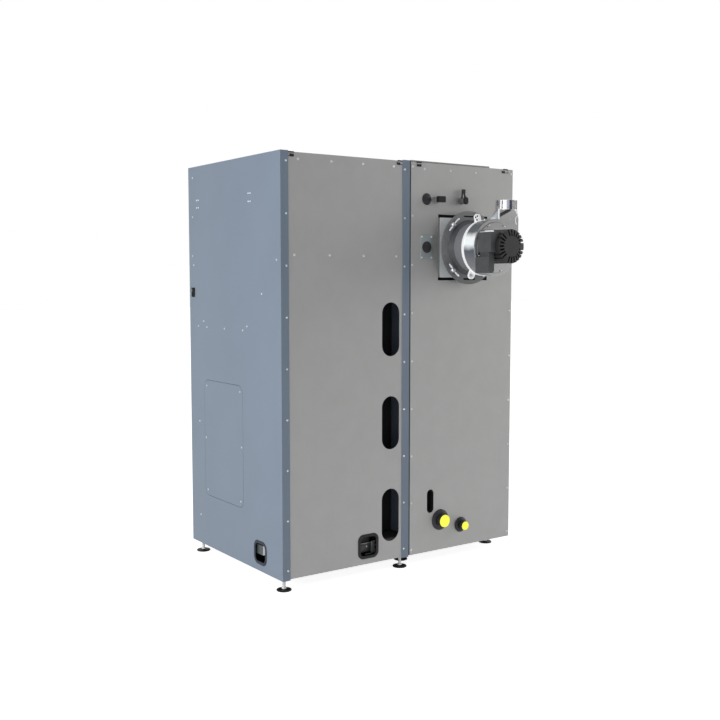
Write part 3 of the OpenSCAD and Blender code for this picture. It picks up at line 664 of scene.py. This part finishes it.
def rivet_head(shape):
    lathe(shape, ((0, 1.4), (1.3, 1.25), (2.3, 0.7), (2.6, 0), (2.6, -0.3), (0, -0.3)), ALONE, 12)


def hex_head(shape):
    lathe(shape, ((0, 1.6), (2.8, 1.6), (3.0, 4.2), (5.0, 4.6), (6.0, 4.0), (6.0, 0.8), (0, 0.8)),
          ALONE, 6)
    lathe(shape, ((0, 0), (8, 0), (8, 0.9), (0, 0.9)), ALONE, 24)


pan_head, rivet = mesh_from("pan_head", screw_head), mesh_from("rivet", rivet_head)
socket_screw = mesh_from("socket_screw", hex_head)

# %% Rows and groups of screws
FLANGE_PITCH, PANEL_PITCH = 178.6, 181.75
FLANGE_X, PANEL_X = (22, 533.5), (571, 1070)
BRACKET_X = 639
flange_rows = [at(x, 0, 36 + FLANGE_PITCH * i) for x in FLANGE_X for i in range(9)]
left_rows = [at(72 + 136.7 * i, 2, 1473) for i in range(4)]
left_rows += [at(55 + 147 * i, 2, 1145) for i in range(4)]
right_rows = [at(x, 2, 24 + PANEL_PITCH * i) for x in PANEL_X for i in range(9)]
right_rows += [at(628 + 127 * i, 2, 1473) for i in range(3)]
side_single = [(29, 1128), (135, 1009), (681, 1458), (684, 1305), (687, 1152), (679, 1116),
               (245, 890), (277, 874), (422, 874), (569, 874), (597, 896),
               (643, 875), (643, 496), (643, 117)]
cover_screws = [(304, 644), (294, 437), (304, 231), (576, 644), (587, 437), (576, 230)]
side_pairs = [(y + d, z) for y in (220, 640) for z in (1368, 1339) for d in (-7, 7)]
side_screws = [at(0, y, z) for y, z in side_single + cover_screws]
bracket_screws = [at(BRACKET_X + dx, 0, fan_z + dz) for dx in (-23.5, 23.5)
                  for dz in (-38.75, 38.75)]
repeat("flange_screws", pan_head, flange_rows, "screw_zinc", "zinc", REAR)
repeat("left_panel_screws", pan_head, left_rows, "screw_zinc", "zinc", REAR, size=1.2)
repeat("right_panel_screws", pan_head, right_rows, "dull_screw", "zinc", REAR, size=1.15)
repeat("bracket_screws", pan_head, bracket_screws, "screw_zinc", "zinc", REAR, size=1.1)
repeat("side_screws", pan_head, side_screws, "screw_zinc", "zinc", LEFT, size=0.95)
# The rivets' white is a painted highlight.
repeat("side_rivets", rivet, [at(0, y, z) for y, z in side_pairs], "white_painted_highlight", "zinc", LEFT,
       size=1.15)
print("screws:", len(flange_rows + left_rows + right_rows + side_screws + bracket_screws))

# %% [markdown]
# ## Wing nuts
# Four wing nuts hold the fan to its mounting disc. A cast wing nut is a short cone with two
# rounded wings and the stud's end in its middle. The wings lie along the disc's edge, so
# every point carries its own turn.


# %% Wing nuts on the disc
def wing_nut(shape):
    lathe(shape, ((0, 0), (8, 0), (8, 3), (6, 9), (5, 10), (3.2, 10), (3.2, 14), (0, 14)),
          ALONE, 20)
    for side in (-1, 1):
        wing = Matrix.Translation(Vector((side * 17.5, 0, 8)) * MM) @ \
            Matrix.Rotation(side * -0.15, 4, "Y") @ Matrix.Diagonal((11.5, 4.4, 5.2, 1))
        bmesh.ops.create_uvsphere(shape, u_segments=16, v_segments=10, radius=MM, matrix=wing)


DISC_FRONT, NUT_R = 36, 122
quarters = [math.radians(45 + 90 * i) for i in range(4)]
nut_spots = [on_fan(NUT_R * math.cos(a), NUT_R * math.sin(a), DISC_FRONT) for a in quarters]
repeat("wing_nut_set", mesh_from("wing_nut", wing_nut), nut_spots, "screw_zinc", "zinc", REAR,
       turns=[a + math.pi / 2 for a in quarters], size=1.2, nodes=("wing_nuts",))

# %% [markdown]
# ## The fan housing's small parts
# The drum's front edge is rolled over into a bead, and the round cover sits in a shallow
# groove, drawn as a thin black ring of painted shade, with a few small screws. A bead that
# follows a path is a Geometry Nodes job too: the path is drawn as a line and a round section
# is swept along it.


# %% A tree that sweeps a round section
def sweep(bench, path, corners, radius):
    section = bench.node("GeometryNodeCurvePrimitiveCircle", {}, {"Resolution": corners,
                                                                  "Radius": radius})
    swept = bench.node("GeometryNodeCurveToMesh", {}, {"Curve": path, "Profile Curve": section,
                                                       "Fill Caps": True})
    return finish_tree(bench, swept)


def bead_tree():
    bench = new_tree("bead_along_a_path", {"Radius": ("Float", 0.001),
                                           "Material": ("Material", None)})
    path = bench.node("GeometryNodeMeshToCurve", {}, {0: bench.given["Geometry"]})
    return sweep(bench, path, 10, bench.given["Radius"])


beading = bead_tree()


def bead(name, points, radius, look, slot, closed=True, flatten=None, nodes=()):
    seed = bpy.data.meshes.new(name)
    links = [(i, i + 1) for i in range(len(points) - 1)]
    if closed:
        links.append((len(points) - 1, 0))
    seed.from_pydata([tuple(p) for p in points], links, [])
    grown = run_tree(name, seed, beading, {"Radius": radius * MM, "Material": finish[look]})
    if flatten is not None:
        grown.transform(flatten)
    smooth = bmesh.new()
    smooth.from_mesh(grown)
    bmesh.ops.recalc_face_normals(smooth, faces=smooth.faces)
    smooth.to_mesh(grown)
    smooth.free()
    grown.shade_smooth()
    return add_piece(name, grown, look, slot, *nodes)


# %% The housing's bead, groove and screws
DRUM_R, DRUM_X, DRUM_Z, FRONT = 103, 5, -3, 178
COVER_R, COVER_SCREW_R = 94, 89


def hole_cap(shape):
    lathe(shape, ((0, 0.1), (2.4, 0.1), (2.4, -0.4), (0, -0.4)), ALONE, 12)


def off_the_drum(radius, degrees, s):
    angle = math.radians(degrees)
    return on_fan(DRUM_X + radius * math.cos(angle), DRUM_Z + radius * math.sin(angle), s)


def round_the_drum(radius, s, first, last, steps=60):
    return [off_the_drum(radius, first + (last - first) * i / steps, s) for i in range(steps + 1)]


def on_cover(*places):
    return [off_the_drum(COVER_SCREW_R, degrees, FRONT + 3) for degrees in places]


small_hole = mesh_from("small_hole", hole_cap)
bead("housing_bead", round_the_drum(DRUM_R + 0.4, FRONT - 3, 84, 318), 2.0, "bead_steel",
     "bright_steel", closed=False)
# A thin black ring paints the shade of the groove round the cover.
bead("cover_groove", round_the_drum(COVER_R + 0.7, FRONT + 0.1, 0, 354, 72), 0.7, "hole_shade_black",
     "inside_black")
repeat("housing_screws", pan_head, on_cover(62, 113, 200, 288, 345), "screw_zinc", "zinc", REAR,
       size=0.75)
# Black discs paint the shade of the cover's holes.
repeat("housing_holes", small_hole, on_cover(69, 121, 207, 282), "hole_shade_black", "inside_black", REAR)

# %% [markdown]
# The drum's side is one wrapped strip of bright sheet, and its tone is a painted reflection that
# changes with height: painted dark at the top, a painted highlight a little above the middle and
# grey again below. The same ramp feeds the colour and a part of the glow, so that the painted
# highlight stays bright from every side.

# %% The wrapped strip of the drum
# Painted reflection: the bright stops are a painted highlight, the dark ones painted shade.
BAND_TONES = ((0.0, (0.23, 0.23, 0.24)), (0.26, (0.18, 0.18, 0.20)), (0.44, (0.105, 0.112, 0.14)),
              (0.56, (0.92, 0.99, 1.0)), (0.68, (0.97, 1.0, 1.0)), (0.78, (0.125, 0.137, 0.15)),
              (1.0, (0.080, 0.084, 0.087)))
BAND_GLOW = 0.40


def banded(name):
    sheet = Finish(name, Metallic=0.25, Roughness=0.3, Emission_Strength=BAND_GLOW)
    height = sheet.node("ShaderNodeSeparateXYZ", {}, {0: sheet.place}, out="Z")
    low = on_fan(0, DRUM_Z - DRUM_R, 0).z
    share = (height - low) * (1 / (2 * DRUM_R * MM))
    waver = (sheet.noise(40) - 0.5) * 0.08
    ramp = sheet.ramp(share + waver, BAND_TONES)
    sheet.feed("Base Color", ramp)
    sheet.feed("Emission Color", ramp)
    return sheet.material


def arc_strip(inner, outer, angles, middle=(0, 0)):
    return [(middle[0] + r * math.cos(a), middle[1] + r * math.sin(a))
            for r, run in ((outer, angles), (inner, angles[::-1])) for a in run]


def band(shape):
    angles = [math.radians(86 + 230 * i / 60) for i in range(61)]
    slab(shape, arc_strip(DRUM_R - 1, DRUM_R + 0.5, angles, (DRUM_X, DRUM_Z)), 115, 174,
         outward(on_fan(0, 0, 0)))


finish["band_painted_reflection"] = banded("wrapped_band_steel")
make("drum_band", band, 0, "band_painted_reflection", "bright_steel")

# %% [markdown]
# The neck's front is closed by rolled edges, whose bright white is a painted highlight: an upright
# one at its left and a curved one down its right. A third runs round the rim, where the drum meets
# it. A narrow grey strip goes up the spigot's side.

# %% Rolled edges and the spigot's grey strip
SPIGOT_X, SPIGOT_S, SPIGOT_R = 92, 140, 41
NECK_ROLL = ((113, 141), (109, 124), (105, 104), (106, 94), (110, 86))


# A narrow grey strip up the spigot's side.
def seam(shape):
    angles = [math.radians(-155 + 1.7 * i) for i in range(-2, 3)]
    slab(shape, arc_strip(SPIGOT_R - 1, SPIGOT_R + 0.9, angles), 142.5, 176.5,
         upright(on_fan(SPIGOT_X, 0, SPIGOT_S)))


bead("neck_edge", [on_fan(20.2, z, 176.8) for z in (103, 116, 129, 142)], 2.3, "white_painted_highlight",
     "bright_steel", closed=False)
bead("neck_roll", [on_fan(x, z, 177) for x, z in NECK_ROLL], 2.2, "white_painted_highlight", "bright_steel",
     closed=False)
make("spigot_seam", seam, 0, "seam_steel", "bright_steel")
bead("rim_edge", round_the_drum(DRUM_R + 0.6, 114.5, 80, 322), 1.8, "white_painted_highlight", "bright_steel",
     closed=False)

# %% The ears' holes and screw
EAR_FRONT = 110.2
ear_holes = [on_fan(x, z, EAR_FRONT) for x, z in ((-36, 112), (-27, 116), (-29, 102))]
# Black discs paint the shade of the ears' holes.
repeat("ear_holes", small_hole, ear_holes, "hole_shade_black", "inside_black", REAR, size=1.35)
repeat("ear_screw", socket_screw, [on_fan(-56.7, -107.7, EAR_FRONT)], "screw_zinc", "zinc", REAR)

# %% [markdown]
# The terminal box has a bright retaining strip along its top edge and a small screw where
# the connector box meets it.


# %% Strip on the terminal box
def strip(shape):
    block(shape, (-77, 51.6, 206), (-70, 57, 249), outward(on_fan(0, 0, 0)))
    block(shape, (-80, 51.6, 184), (-72, 54, 203), outward(on_fan(0, 0, 0)))


# The strip's white is a painted highlight.
make("box_strip", strip, 0.5, "white_painted_highlight", "zinc")
repeat("box_screw", rivet, [on_fan(-86, -34, 186)], "screw_zinc", "zinc", LEFT)

# %% [markdown]
# ## Fittings above the fan
# Black plugs close two holes. Beside the upper one a sensor plug stands out, and further
# right is a small drain valve: a grey body, a black lever that forks down to it from above,
# and an oval black knob in front.


# %% Domed plugs
def plug(shape, place):
    lathe(shape, ((0, -6), (17, -6), (17, 0), (22, 0), (22, 0.8), (21, 2.0), (18, 3.0), (16.5, 2.7),
                  (15, 3.3), (8, 3.9), (0, 4.0)), place, 48)


PLUG_X, PLUG_Z = 639, 1361


def both_plugs(shape):
    plug(shape, outward(at(PLUG_X, 2, PLUG_Z)))
    plug(shape, outward(at(PLUG_X, 0, fan_z)))


make("plug_pair", both_plugs, 0, "black_rubber", "black_plastic", "round_plugs")


# %% Sensor plug
def sensor_place():
    low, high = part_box("sensor_connector")
    middle = (low + high) / 2
    half_w, half_h = (high.x - low.x) / 2 / MM, (high.z - low.z) / 2 / MM
    depth = (high.y - low.y) / MM
    here = outward(Vector((middle.x, high.y, middle.z)))
    return here, half_w, half_h, depth


def sensor_head(shape):
    here, half_w, half_h, depth = sensor_place()
    slab(shape, rounded(half_w * 2, half_h * 2, 3, 4), depth - 15, depth, here)
    block(shape, (-5, half_h - 3, 6), (5, half_h - 0.3, depth - 12), here)


def sensor_socket(shape):
    here, half_w, half_h, depth = sensor_place()
    slab(shape, rounded(half_w * 2 - 3, half_h * 2 - 3, 2, 4), 0, depth - 14, here)


make("sensor_head", sensor_head, 0.7, "black_plastic", "black_plastic", "sensor_connector")
make("sensor_socket", sensor_socket, 0.7, "valve_grey", "black_plastic")

# %% Drain valve
VALVE_X = 809


def valve_body(shape):
    here = outward(at(VALVE_X, 0, PLUG_Z))
    lathe(shape, ((0, 0), (12.5, 0), (12.5, 10), (11.5, 11), (11.5, 23), (0, 23)), here, 32)
    lathe(shape, ((0, 3), (14, 3), (14, 9), (0, 9)), here, 6)


def valve_lever(shape):
    here = outward(at(VALVE_X, 0, PLUG_Z))
    slab(shape, rounded(15, 16, 2, 4, (0, 35.5)), 8, 16, here)
    for leg in (((-7.5, 29), (-10.5, 9), (-5, 9), (-2, 29)),
                ((2, 29), (6.5, 9), (12.5, 9), (7.5, 29))):
        slab(shape, leg, 9, 14, here)


def valve_knob(shape):
    here = outward(at(VALVE_X + 1, 0, PLUG_Z))
    slab(shape, rounded(22, 29, 10.5, 8), 22.5, 28, here)
    slab(shape, rounded(12, 18, 5.5, 8), 27, 28.8, here)


make("valve_body", valve_body, 0.5, "valve_grey", "black_plastic", "small_valve")
make("valve_lever", valve_lever, 0.5, "black_rubber", "black_plastic")
make("valve_knob", valve_knob, 1.0, "black_plastic", "black_plastic")

# %% [markdown]
# ## Water pipe collars
# Each pipe end comes through a soft boot of black rubber: a flat lip on the sheet that rises
# in a round shoulder to the pipe. It is a ring, so its half section is closed on itself.


# %% Rubber boots
def boot(shape, x, z, bore, outer):
    rise = outer - bore
    profile = ((bore, 0), (outer, 0), (outer, 1.6), (outer - 0.10 * rise, 3.3),
               (outer - 0.28 * rise, 5.0), (outer - 0.50 * rise, 6.6), (outer - 0.68 * rise, 7.6),
               (outer - 0.80 * rise, 8.0), (bore + 0.8, 7.7), (bore, 6.8))
    lathe(shape, profile, outward(at(x, 2, z)), 64, ring=True)


PIPES = {"large_pipe": (714, 123, 23.3, 41), "small_pipe": (819, 89, 16.0, 30)}
for name, sizes in PIPES.items():
    make(name + "_boot", lambda shape: boot(shape, *sizes), 0, "black_rubber", "black_plastic",
         name + "_collar")

# %% [markdown]
# ## Cable frames
# A thick rubber frame lines each cable opening. It is a round section swept round a square
# with rounded corners, pressed flat against the sheet. The side frame is a little lower than
# the rear one, with rounder corners.

# %% Rubber frames
FRAME_W, FRAME_R, TUBE, FRAME_Z = 82, 19, 6, 71
SIDE_FRAME_H, SIDE_FRAME_R = 77, 22
REAR_FRAME_X, SIDE_FRAME_Y = 370, 160


def pressed(place, direction, share):
    scale = Matrix.Scale(share, 4, direction)
    return Matrix.Translation(place) @ scale @ Matrix.Translation(-place)


def frame_path(place, plane, height=FRAME_W, radius=FRAME_R):
    corners = rounded(FRAME_W, height, radius, middle=(0, (height - FRAME_W) / 2))
    return [plane(place) @ Vector((x, y, 0)) for x, y in corners]


rear_spot, side_spot = at(REAR_FRAME_X, 2, FRAME_Z), at(0, SIDE_FRAME_Y, FRAME_Z)
bead("rear_frame_rubber", frame_path(rear_spot, outward), TUBE, "frame_rubber", "black_plastic",
     flatten=pressed(rear_spot, REAR, 0.5), nodes=("rear_cable_frame",))
bead("side_frame_rubber", frame_path(side_spot, leftward, SIDE_FRAME_H, SIDE_FRAME_R), TUBE,
     "side_rubber", "black_plastic", flatten=pressed(side_spot, LEFT, 0.33),
     nodes=("side_cable_frame",))

# %% [markdown]
# Behind the rear frame is the feed gearmotor: a dark cast housing that steps forward in
# its lower part, a notched zinc bracket at its right, and zinc strips along its step and
# below it.


# %% Gearmotor behind the rear frame
def gearmotor(shape):
    here = outward(at(REAR_FRAME_X, 0, FRAME_Z))
    block(shape, (-31, -29, -108), (29, 29, -36), here)
    block(shape, (-31, -29, -36), (29, 4, -29), here)
    lathe(shape, ((0, -29), (15, -29), (15, -27.5), (12, -27), (0, -27)),
          outward(at(REAR_FRAME_X - 10, 0, FRAME_Z - 16)), 32)


def bracket_and_strip(shape):
    here = outward(at(REAR_FRAME_X, 0, FRAME_Z))
    outline = ((29, -36), (40, -36), (50, -28), (50, -22), (44, -20), (44, -11), (50, -10),
               (50, -5), (44, -4), (44, 3), (47, 4), (47, 9), (29, 9))
    slab(shape, outline, -27, -24, here)
    block(shape, (3, -39, -30), (31, -36, -24), here)
    block(shape, (-15, 3.5, -29), (29, 5.5, -27), here)


make("gearmotor_housing", gearmotor, 2.0, "gearmotor_black", "gearmotor_black", "feed_gearmotor")
make("gearmotor_bracket", bracket_and_strip, 0.4, "bracket_zinc", "zinc")
repeat("gearmotor_screw", pan_head, [at(380.6, 28.5, 62.5)], "screw_zinc", "zinc", REAR, size=0.9)

# %% [markdown]
# Close behind the side frame a plain sheet duct fills the upper part of the opening. A thin white
# strip on the side that it turns towards the connection face is a painted highlight.


# %% Duct behind the side frame
DUCT_FACE, DUCT_SIDE, DUCT_FOOT, DUCT_TOP = 7, 153, 58, 93.5


def duct(shape):
    low, far = at(DUCT_FACE, DUCT_SIDE, DUCT_FOOT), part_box("feed_duct")[1]
    wide, deep = (far.x - low.x) / MM, (far.y - low.y) / MM
    block(shape, (0, 0, 0), (wide, deep, DUCT_TOP - DUCT_FOOT), upright(low))


# A white strip paints the highlight on the duct's near edge.
def duct_edge(shape):
    low = at(DUCT_FACE, DUCT_SIDE, DUCT_FOOT)
    block(shape, (1, -0.4, 1), (11.5, 0.2, DUCT_TOP - DUCT_FOOT - 1), upright(low))


make("duct_sheet", duct, 1.5, "duct_sheet", "zinc", "feed_duct", segments=3)
make("duct_edge", duct_edge, 0, "white_painted_highlight", "zinc")

# %% [markdown]
# ## Latch and clips
# The side latch is a thin black plate with raised edges, a small round boss and a grey
# finger tab. Spring clips hold the rear panels at their top edges: a short black tongue and
# a black hook, with a grey spring leaf between them.


# %% Side latch
LATCH_Y, LATCH_Z = 691, 1008


def latch_plate(shape):
    here = leftward(at(0, LATCH_Y - 4, LATCH_Z))
    slab(shape, rounded(30, 37, 4), 0, 1.2, here)
    slab(shape, rounded(30, 5, 2, middle=(0, 16)), 1.2, 1.9, here)
    slab(shape, rounded(6, 30, 2, middle=(12, 0)), 1.2, 1.9, here)
    lathe(shape, ((0, 1.2), (4, 1.2), (4, 1.8), (0, 1.8)),
          leftward(at(0, LATCH_Y, LATCH_Z - 7)), 24)


def latch_tab(shape):
    slab(shape, rounded(17, 15, 5), 0, 2.0, leftward(at(0, LATCH_Y + 12, LATCH_Z + 8)))


make("latch_plate", latch_plate, 0.3, "latch_black", "black_plastic", "side_latch")
make("latch_tab", latch_tab, 0.4, "knob_grey", "black_plastic")


# %% Spring clips
PANEL_TOP = 1496
CLIPS = ((43, -5, 12), (513, -15, 0), (601, -10, 11), (1039, -18, -3))


def top_block(shape, x0, x1, y0, y1, z0, z1):
    block(shape, (x0, y0, z0), (x1, y1, z1), upright(at(0, 0, PANEL_TOP)))


def clip_hooks(shape):
    for x, near, far in CLIPS:
        top_block(shape, x + near, x + far, 0.2, 3.6, -16, -7)
        top_block(shape, x - 11, x + 12, 0.4, 3.8, -3, 1.5)


def clip_leaves(shape):
    for x, near, far in CLIPS:
        top_block(shape, x - 11, x + 12, 1, 2.6, -13, -2)


make("clip_hooks", clip_hooks, 0.5, "black_plastic", "black_plastic", "top_clips")
make("clip_leaves", clip_leaves, 0.3, "clip_grey", "zinc")

# %% [markdown]
# ## Levelling feet
# A foot is a flat black disc, a zinc collar with the ball joint, and a threaded stem. The
# thread is a spiral line with a small round section swept along it, and all three shapes
# are then set under the machine by the repeating tree.

# %% Where the feet stand
FOOT_SPOTS = [(21, 28), (536, 28), (21, 668), (536, 668),
              (599, 105), (1045, 105), (599, 668), (1045, 668)]
feet = [at(x, y, floor_z) for x, y in FOOT_SPOTS]


# %% Pad, stem and thread
def pad(shape):
    lathe(shape, ((0, 0), (26, 0), (27, 0.8), (27, 3.4), (25.6, 5.0), (19, 6.0), (12, 6.4),
                  (11, 7.2), (0, 7.2)), ALONE, 48)


def stem(shape):
    lathe(shape, ((0, 6), (8.5, 6), (8.5, 11), (7.4, 13), (5.4, 14), (5.4, 42), (0, 42)), ALONE, 24)


def thread_tree():
    bench = new_tree("thread", {"Radius": ("Float", 0.0054), "Pitch": ("Float", 0.00175),
                                "Turns": ("Float", 12.0), "Material": ("Material", None)})
    spiral = bench.node("GeometryNodeCurveSpiral", {}, {
        "Resolution": 20, "Rotations": bench.given["Turns"], "Start Radius": bench.given["Radius"],
        "End Radius": bench.given["Radius"], "Height": bench.given["Turns"] * bench.given["Pitch"]})
    return sweep(bench, spiral, 6, 0.0006)


seed = bpy.data.meshes.new("thread")
seed.from_pydata([(0, 0, 0)], [], [])
thread = run_tree("thread", seed, thread_tree(), {"Material": finish["foot_zinc"]})
thread.transform(Matrix.Translation((0, 0, 18.5 * MM)))
thread.shade_smooth()
repeat("foot_pad_set", mesh_from("pad", pad), feet, "black_plastic", "black_plastic",
       nodes=("foot_pads",))
repeat("foot_stem_set", mesh_from("stem", stem), feet, "foot_zinc", "zinc", nodes=("foot_stems",))
repeat("foot_threads", thread, feet, "foot_zinc", "zinc")
print("feet:", len(feet))

# %% [markdown]
# ## Floor, camera and light
# The floor is plain and pale. Seen by the camera it also glows, so that it runs into the
# white backdrop and keeps its soft shadows. Three lamps light the machine: a large soft
# one on the left for the casing, a smaller one at the fan's height for what turns left, and
# a large one on the right for the connection face. Bright metal shows only what stands
# around it, so a dark card in front of the machine gives the fan's steel its dark bands.


# %% Floor
CORNERS = ((-1, -1), (1, -1), (1, 1), (-1, 1))


def flat_floor(shape):
    half = 30
    shape.faces.new([shape.verts.new((x * half, y * half, 0)) for x, y in CORNERS])


floor = put("floor", mesh_from("floor", flat_floor))
floor_look = Finish("pale_floor", Roughness=0.9, Base_Color=(0.8, 0.8, 0.8, 1),
                    Emission_Color=(1, 1, 1, 1))


def seen_rays(bench):
    rays = bench.tree.nodes.new("ShaderNodeLightPath")
    camera_ray, glossy_ray, clear_ray = (Wire(bench, rays.outputs[name]) for name in (
        "Is Camera Ray", "Is Glossy Ray", "Is Transmission Ray"))
    return bench.node("ShaderNodeClamp", {}, {0: camera_ray + glossy_ray + clear_ray})


FLOOR_GLOW = 0.90
floor_look.feed("Emission Strength", seen_rays(floor_look) * FLOOR_GLOW)
floor.data.materials.append(floor_look.material)

# %% World
world = bpy.data.worlds.new("studio")
bpy.context.scene.world = world
world.use_nodes = True
air = Bench(world.node_tree)
air.tree.nodes.clear()
STUDIO_LEVEL = 0.30
strength = seen_rays(air) * (1 - STUDIO_LEVEL) + STUDIO_LEVEL
glow = air.node("ShaderNodeBackground", {}, {"Color": (1, 1, 1, 1), "Strength": strength})
air.join(glow, air.tree.nodes.new("ShaderNodeOutputWorld").inputs[0])


# %% Lamps
def lamp(name, place, target, size, power, tint=(1, 1, 1)):
    light = bpy.data.lights.new(name, "AREA")
    light.shape, light.size, light.energy, light.color = "SQUARE", size, power, tint
    holder = put(name, light)
    holder.location = place
    holder.rotation_euler = (Vector(target) - Vector(place)).to_track_quat("-Z", "Y").to_euler()
    holder.visible_camera = False


lamp("left_softbox", (-4.4, 0.9, 1.6), (0, 0.1, 0.8), 2.8, 10)
lamp("left_key", (-3.9, -0.95, 1.5), (0.0, -0.6, 1.0), 0.9, 49)
lamp("right_softbox", (4.8, -1.6, 2.0), (0.3, -0.2, 0.9), 2.4, 56, (1.0, 0.98, 0.94))


# %% A dark card for the bright metal
def mirror_board(name, build, **numbers):
    made = put(name, mesh_from(name, build))
    made.data.materials.append(Finish(name, Roughness=1.0, **numbers).material)
    made.visible_camera = made.visible_diffuse = made.visible_shadow = False


def card(name, place, width, height, tone):
    half_w, half_h = width / 2, height / 2

    def flat(shape):
        shape.faces.new([shape.verts.new(Vector(place) + Vector((x * half_w, 0, z * half_h)))
                         for x, z in CORNERS])

    mirror_board(name, flat, Base_Color=(tone, tone, tone, 1))


card("dark_card", (0.55, -4.2, 1.3), 2.4, 3.4, 0.03)

# %% [markdown]
# The round spigot shows the studio as upright bands. Narrow glowing strips stand on a circle
# around it, at the height its steel looks at, and only glossy rays see them.

# %% Strips for the spigot
STRIP_FAR, STRIP_LOW, STRIP_HIGH, STRIP_STEP = 3.5, 1.47, 1.85, 5


def strip_board(name, first, last, glow):
    middle = on_fan(SPIGOT_X, 0, SPIGOT_S)

    def arc(shape):
        steps = max(2, round((last - first) / STRIP_STEP))
        rows = []
        for i in range(steps + 1):
            angle = math.radians(first + (last - first) * i / steps)
            x, y = middle.x + STRIP_FAR * math.cos(angle), middle.y + STRIP_FAR * math.sin(angle)
            rows.append([shape.verts.new((x, y, z)) for z in (STRIP_LOW, STRIP_HIGH)])
        for (a, b), (d, c) in zip(rows, rows[1:]):
            shape.faces.new((a, b, c, d))

    mirror_board(name, arc, Base_Color=(0, 0, 0, 1), Emission_Color=(*glow, 1),
                 Emission_Strength=1.0, Specular_IOR_Level=0.0)


strip_board("thin_grey_strip", -180, -164, (0.22, 0.22, 0.24))
strip_board("blue_grey_strip", -128, -99, (0.32, 0.33, 0.42))
strip_board("dark_strip", -98, -65, (0.06, 0.06, 0.08))
strip_board("grey_strip", -64, 47, (0.235, 0.235, 0.23))

# %% [markdown]
# The camera stands to the left of the connection face, at two thirds of the machine's
# height, and looks slightly down with a normal lens.

# %% Camera
LOOKS_DOWN, TURNED_RIGHT = 4.75, 35
eye = bpy.data.cameras.new("camera")
eye.lens, eye.sensor_width = 50, 36
camera = put("camera", eye)
camera.location = at(-1749.4, -2970.7, 1069.0)
camera.rotation_euler = (math.radians(90 - LOOKS_DOWN), 0, math.radians(-TURNED_RIGHT))
bpy.context.scene.camera = camera
print("camera", [round(v, 3) for v in camera.location])

bpy.context.scene.view_settings.view_transform = "Standard"
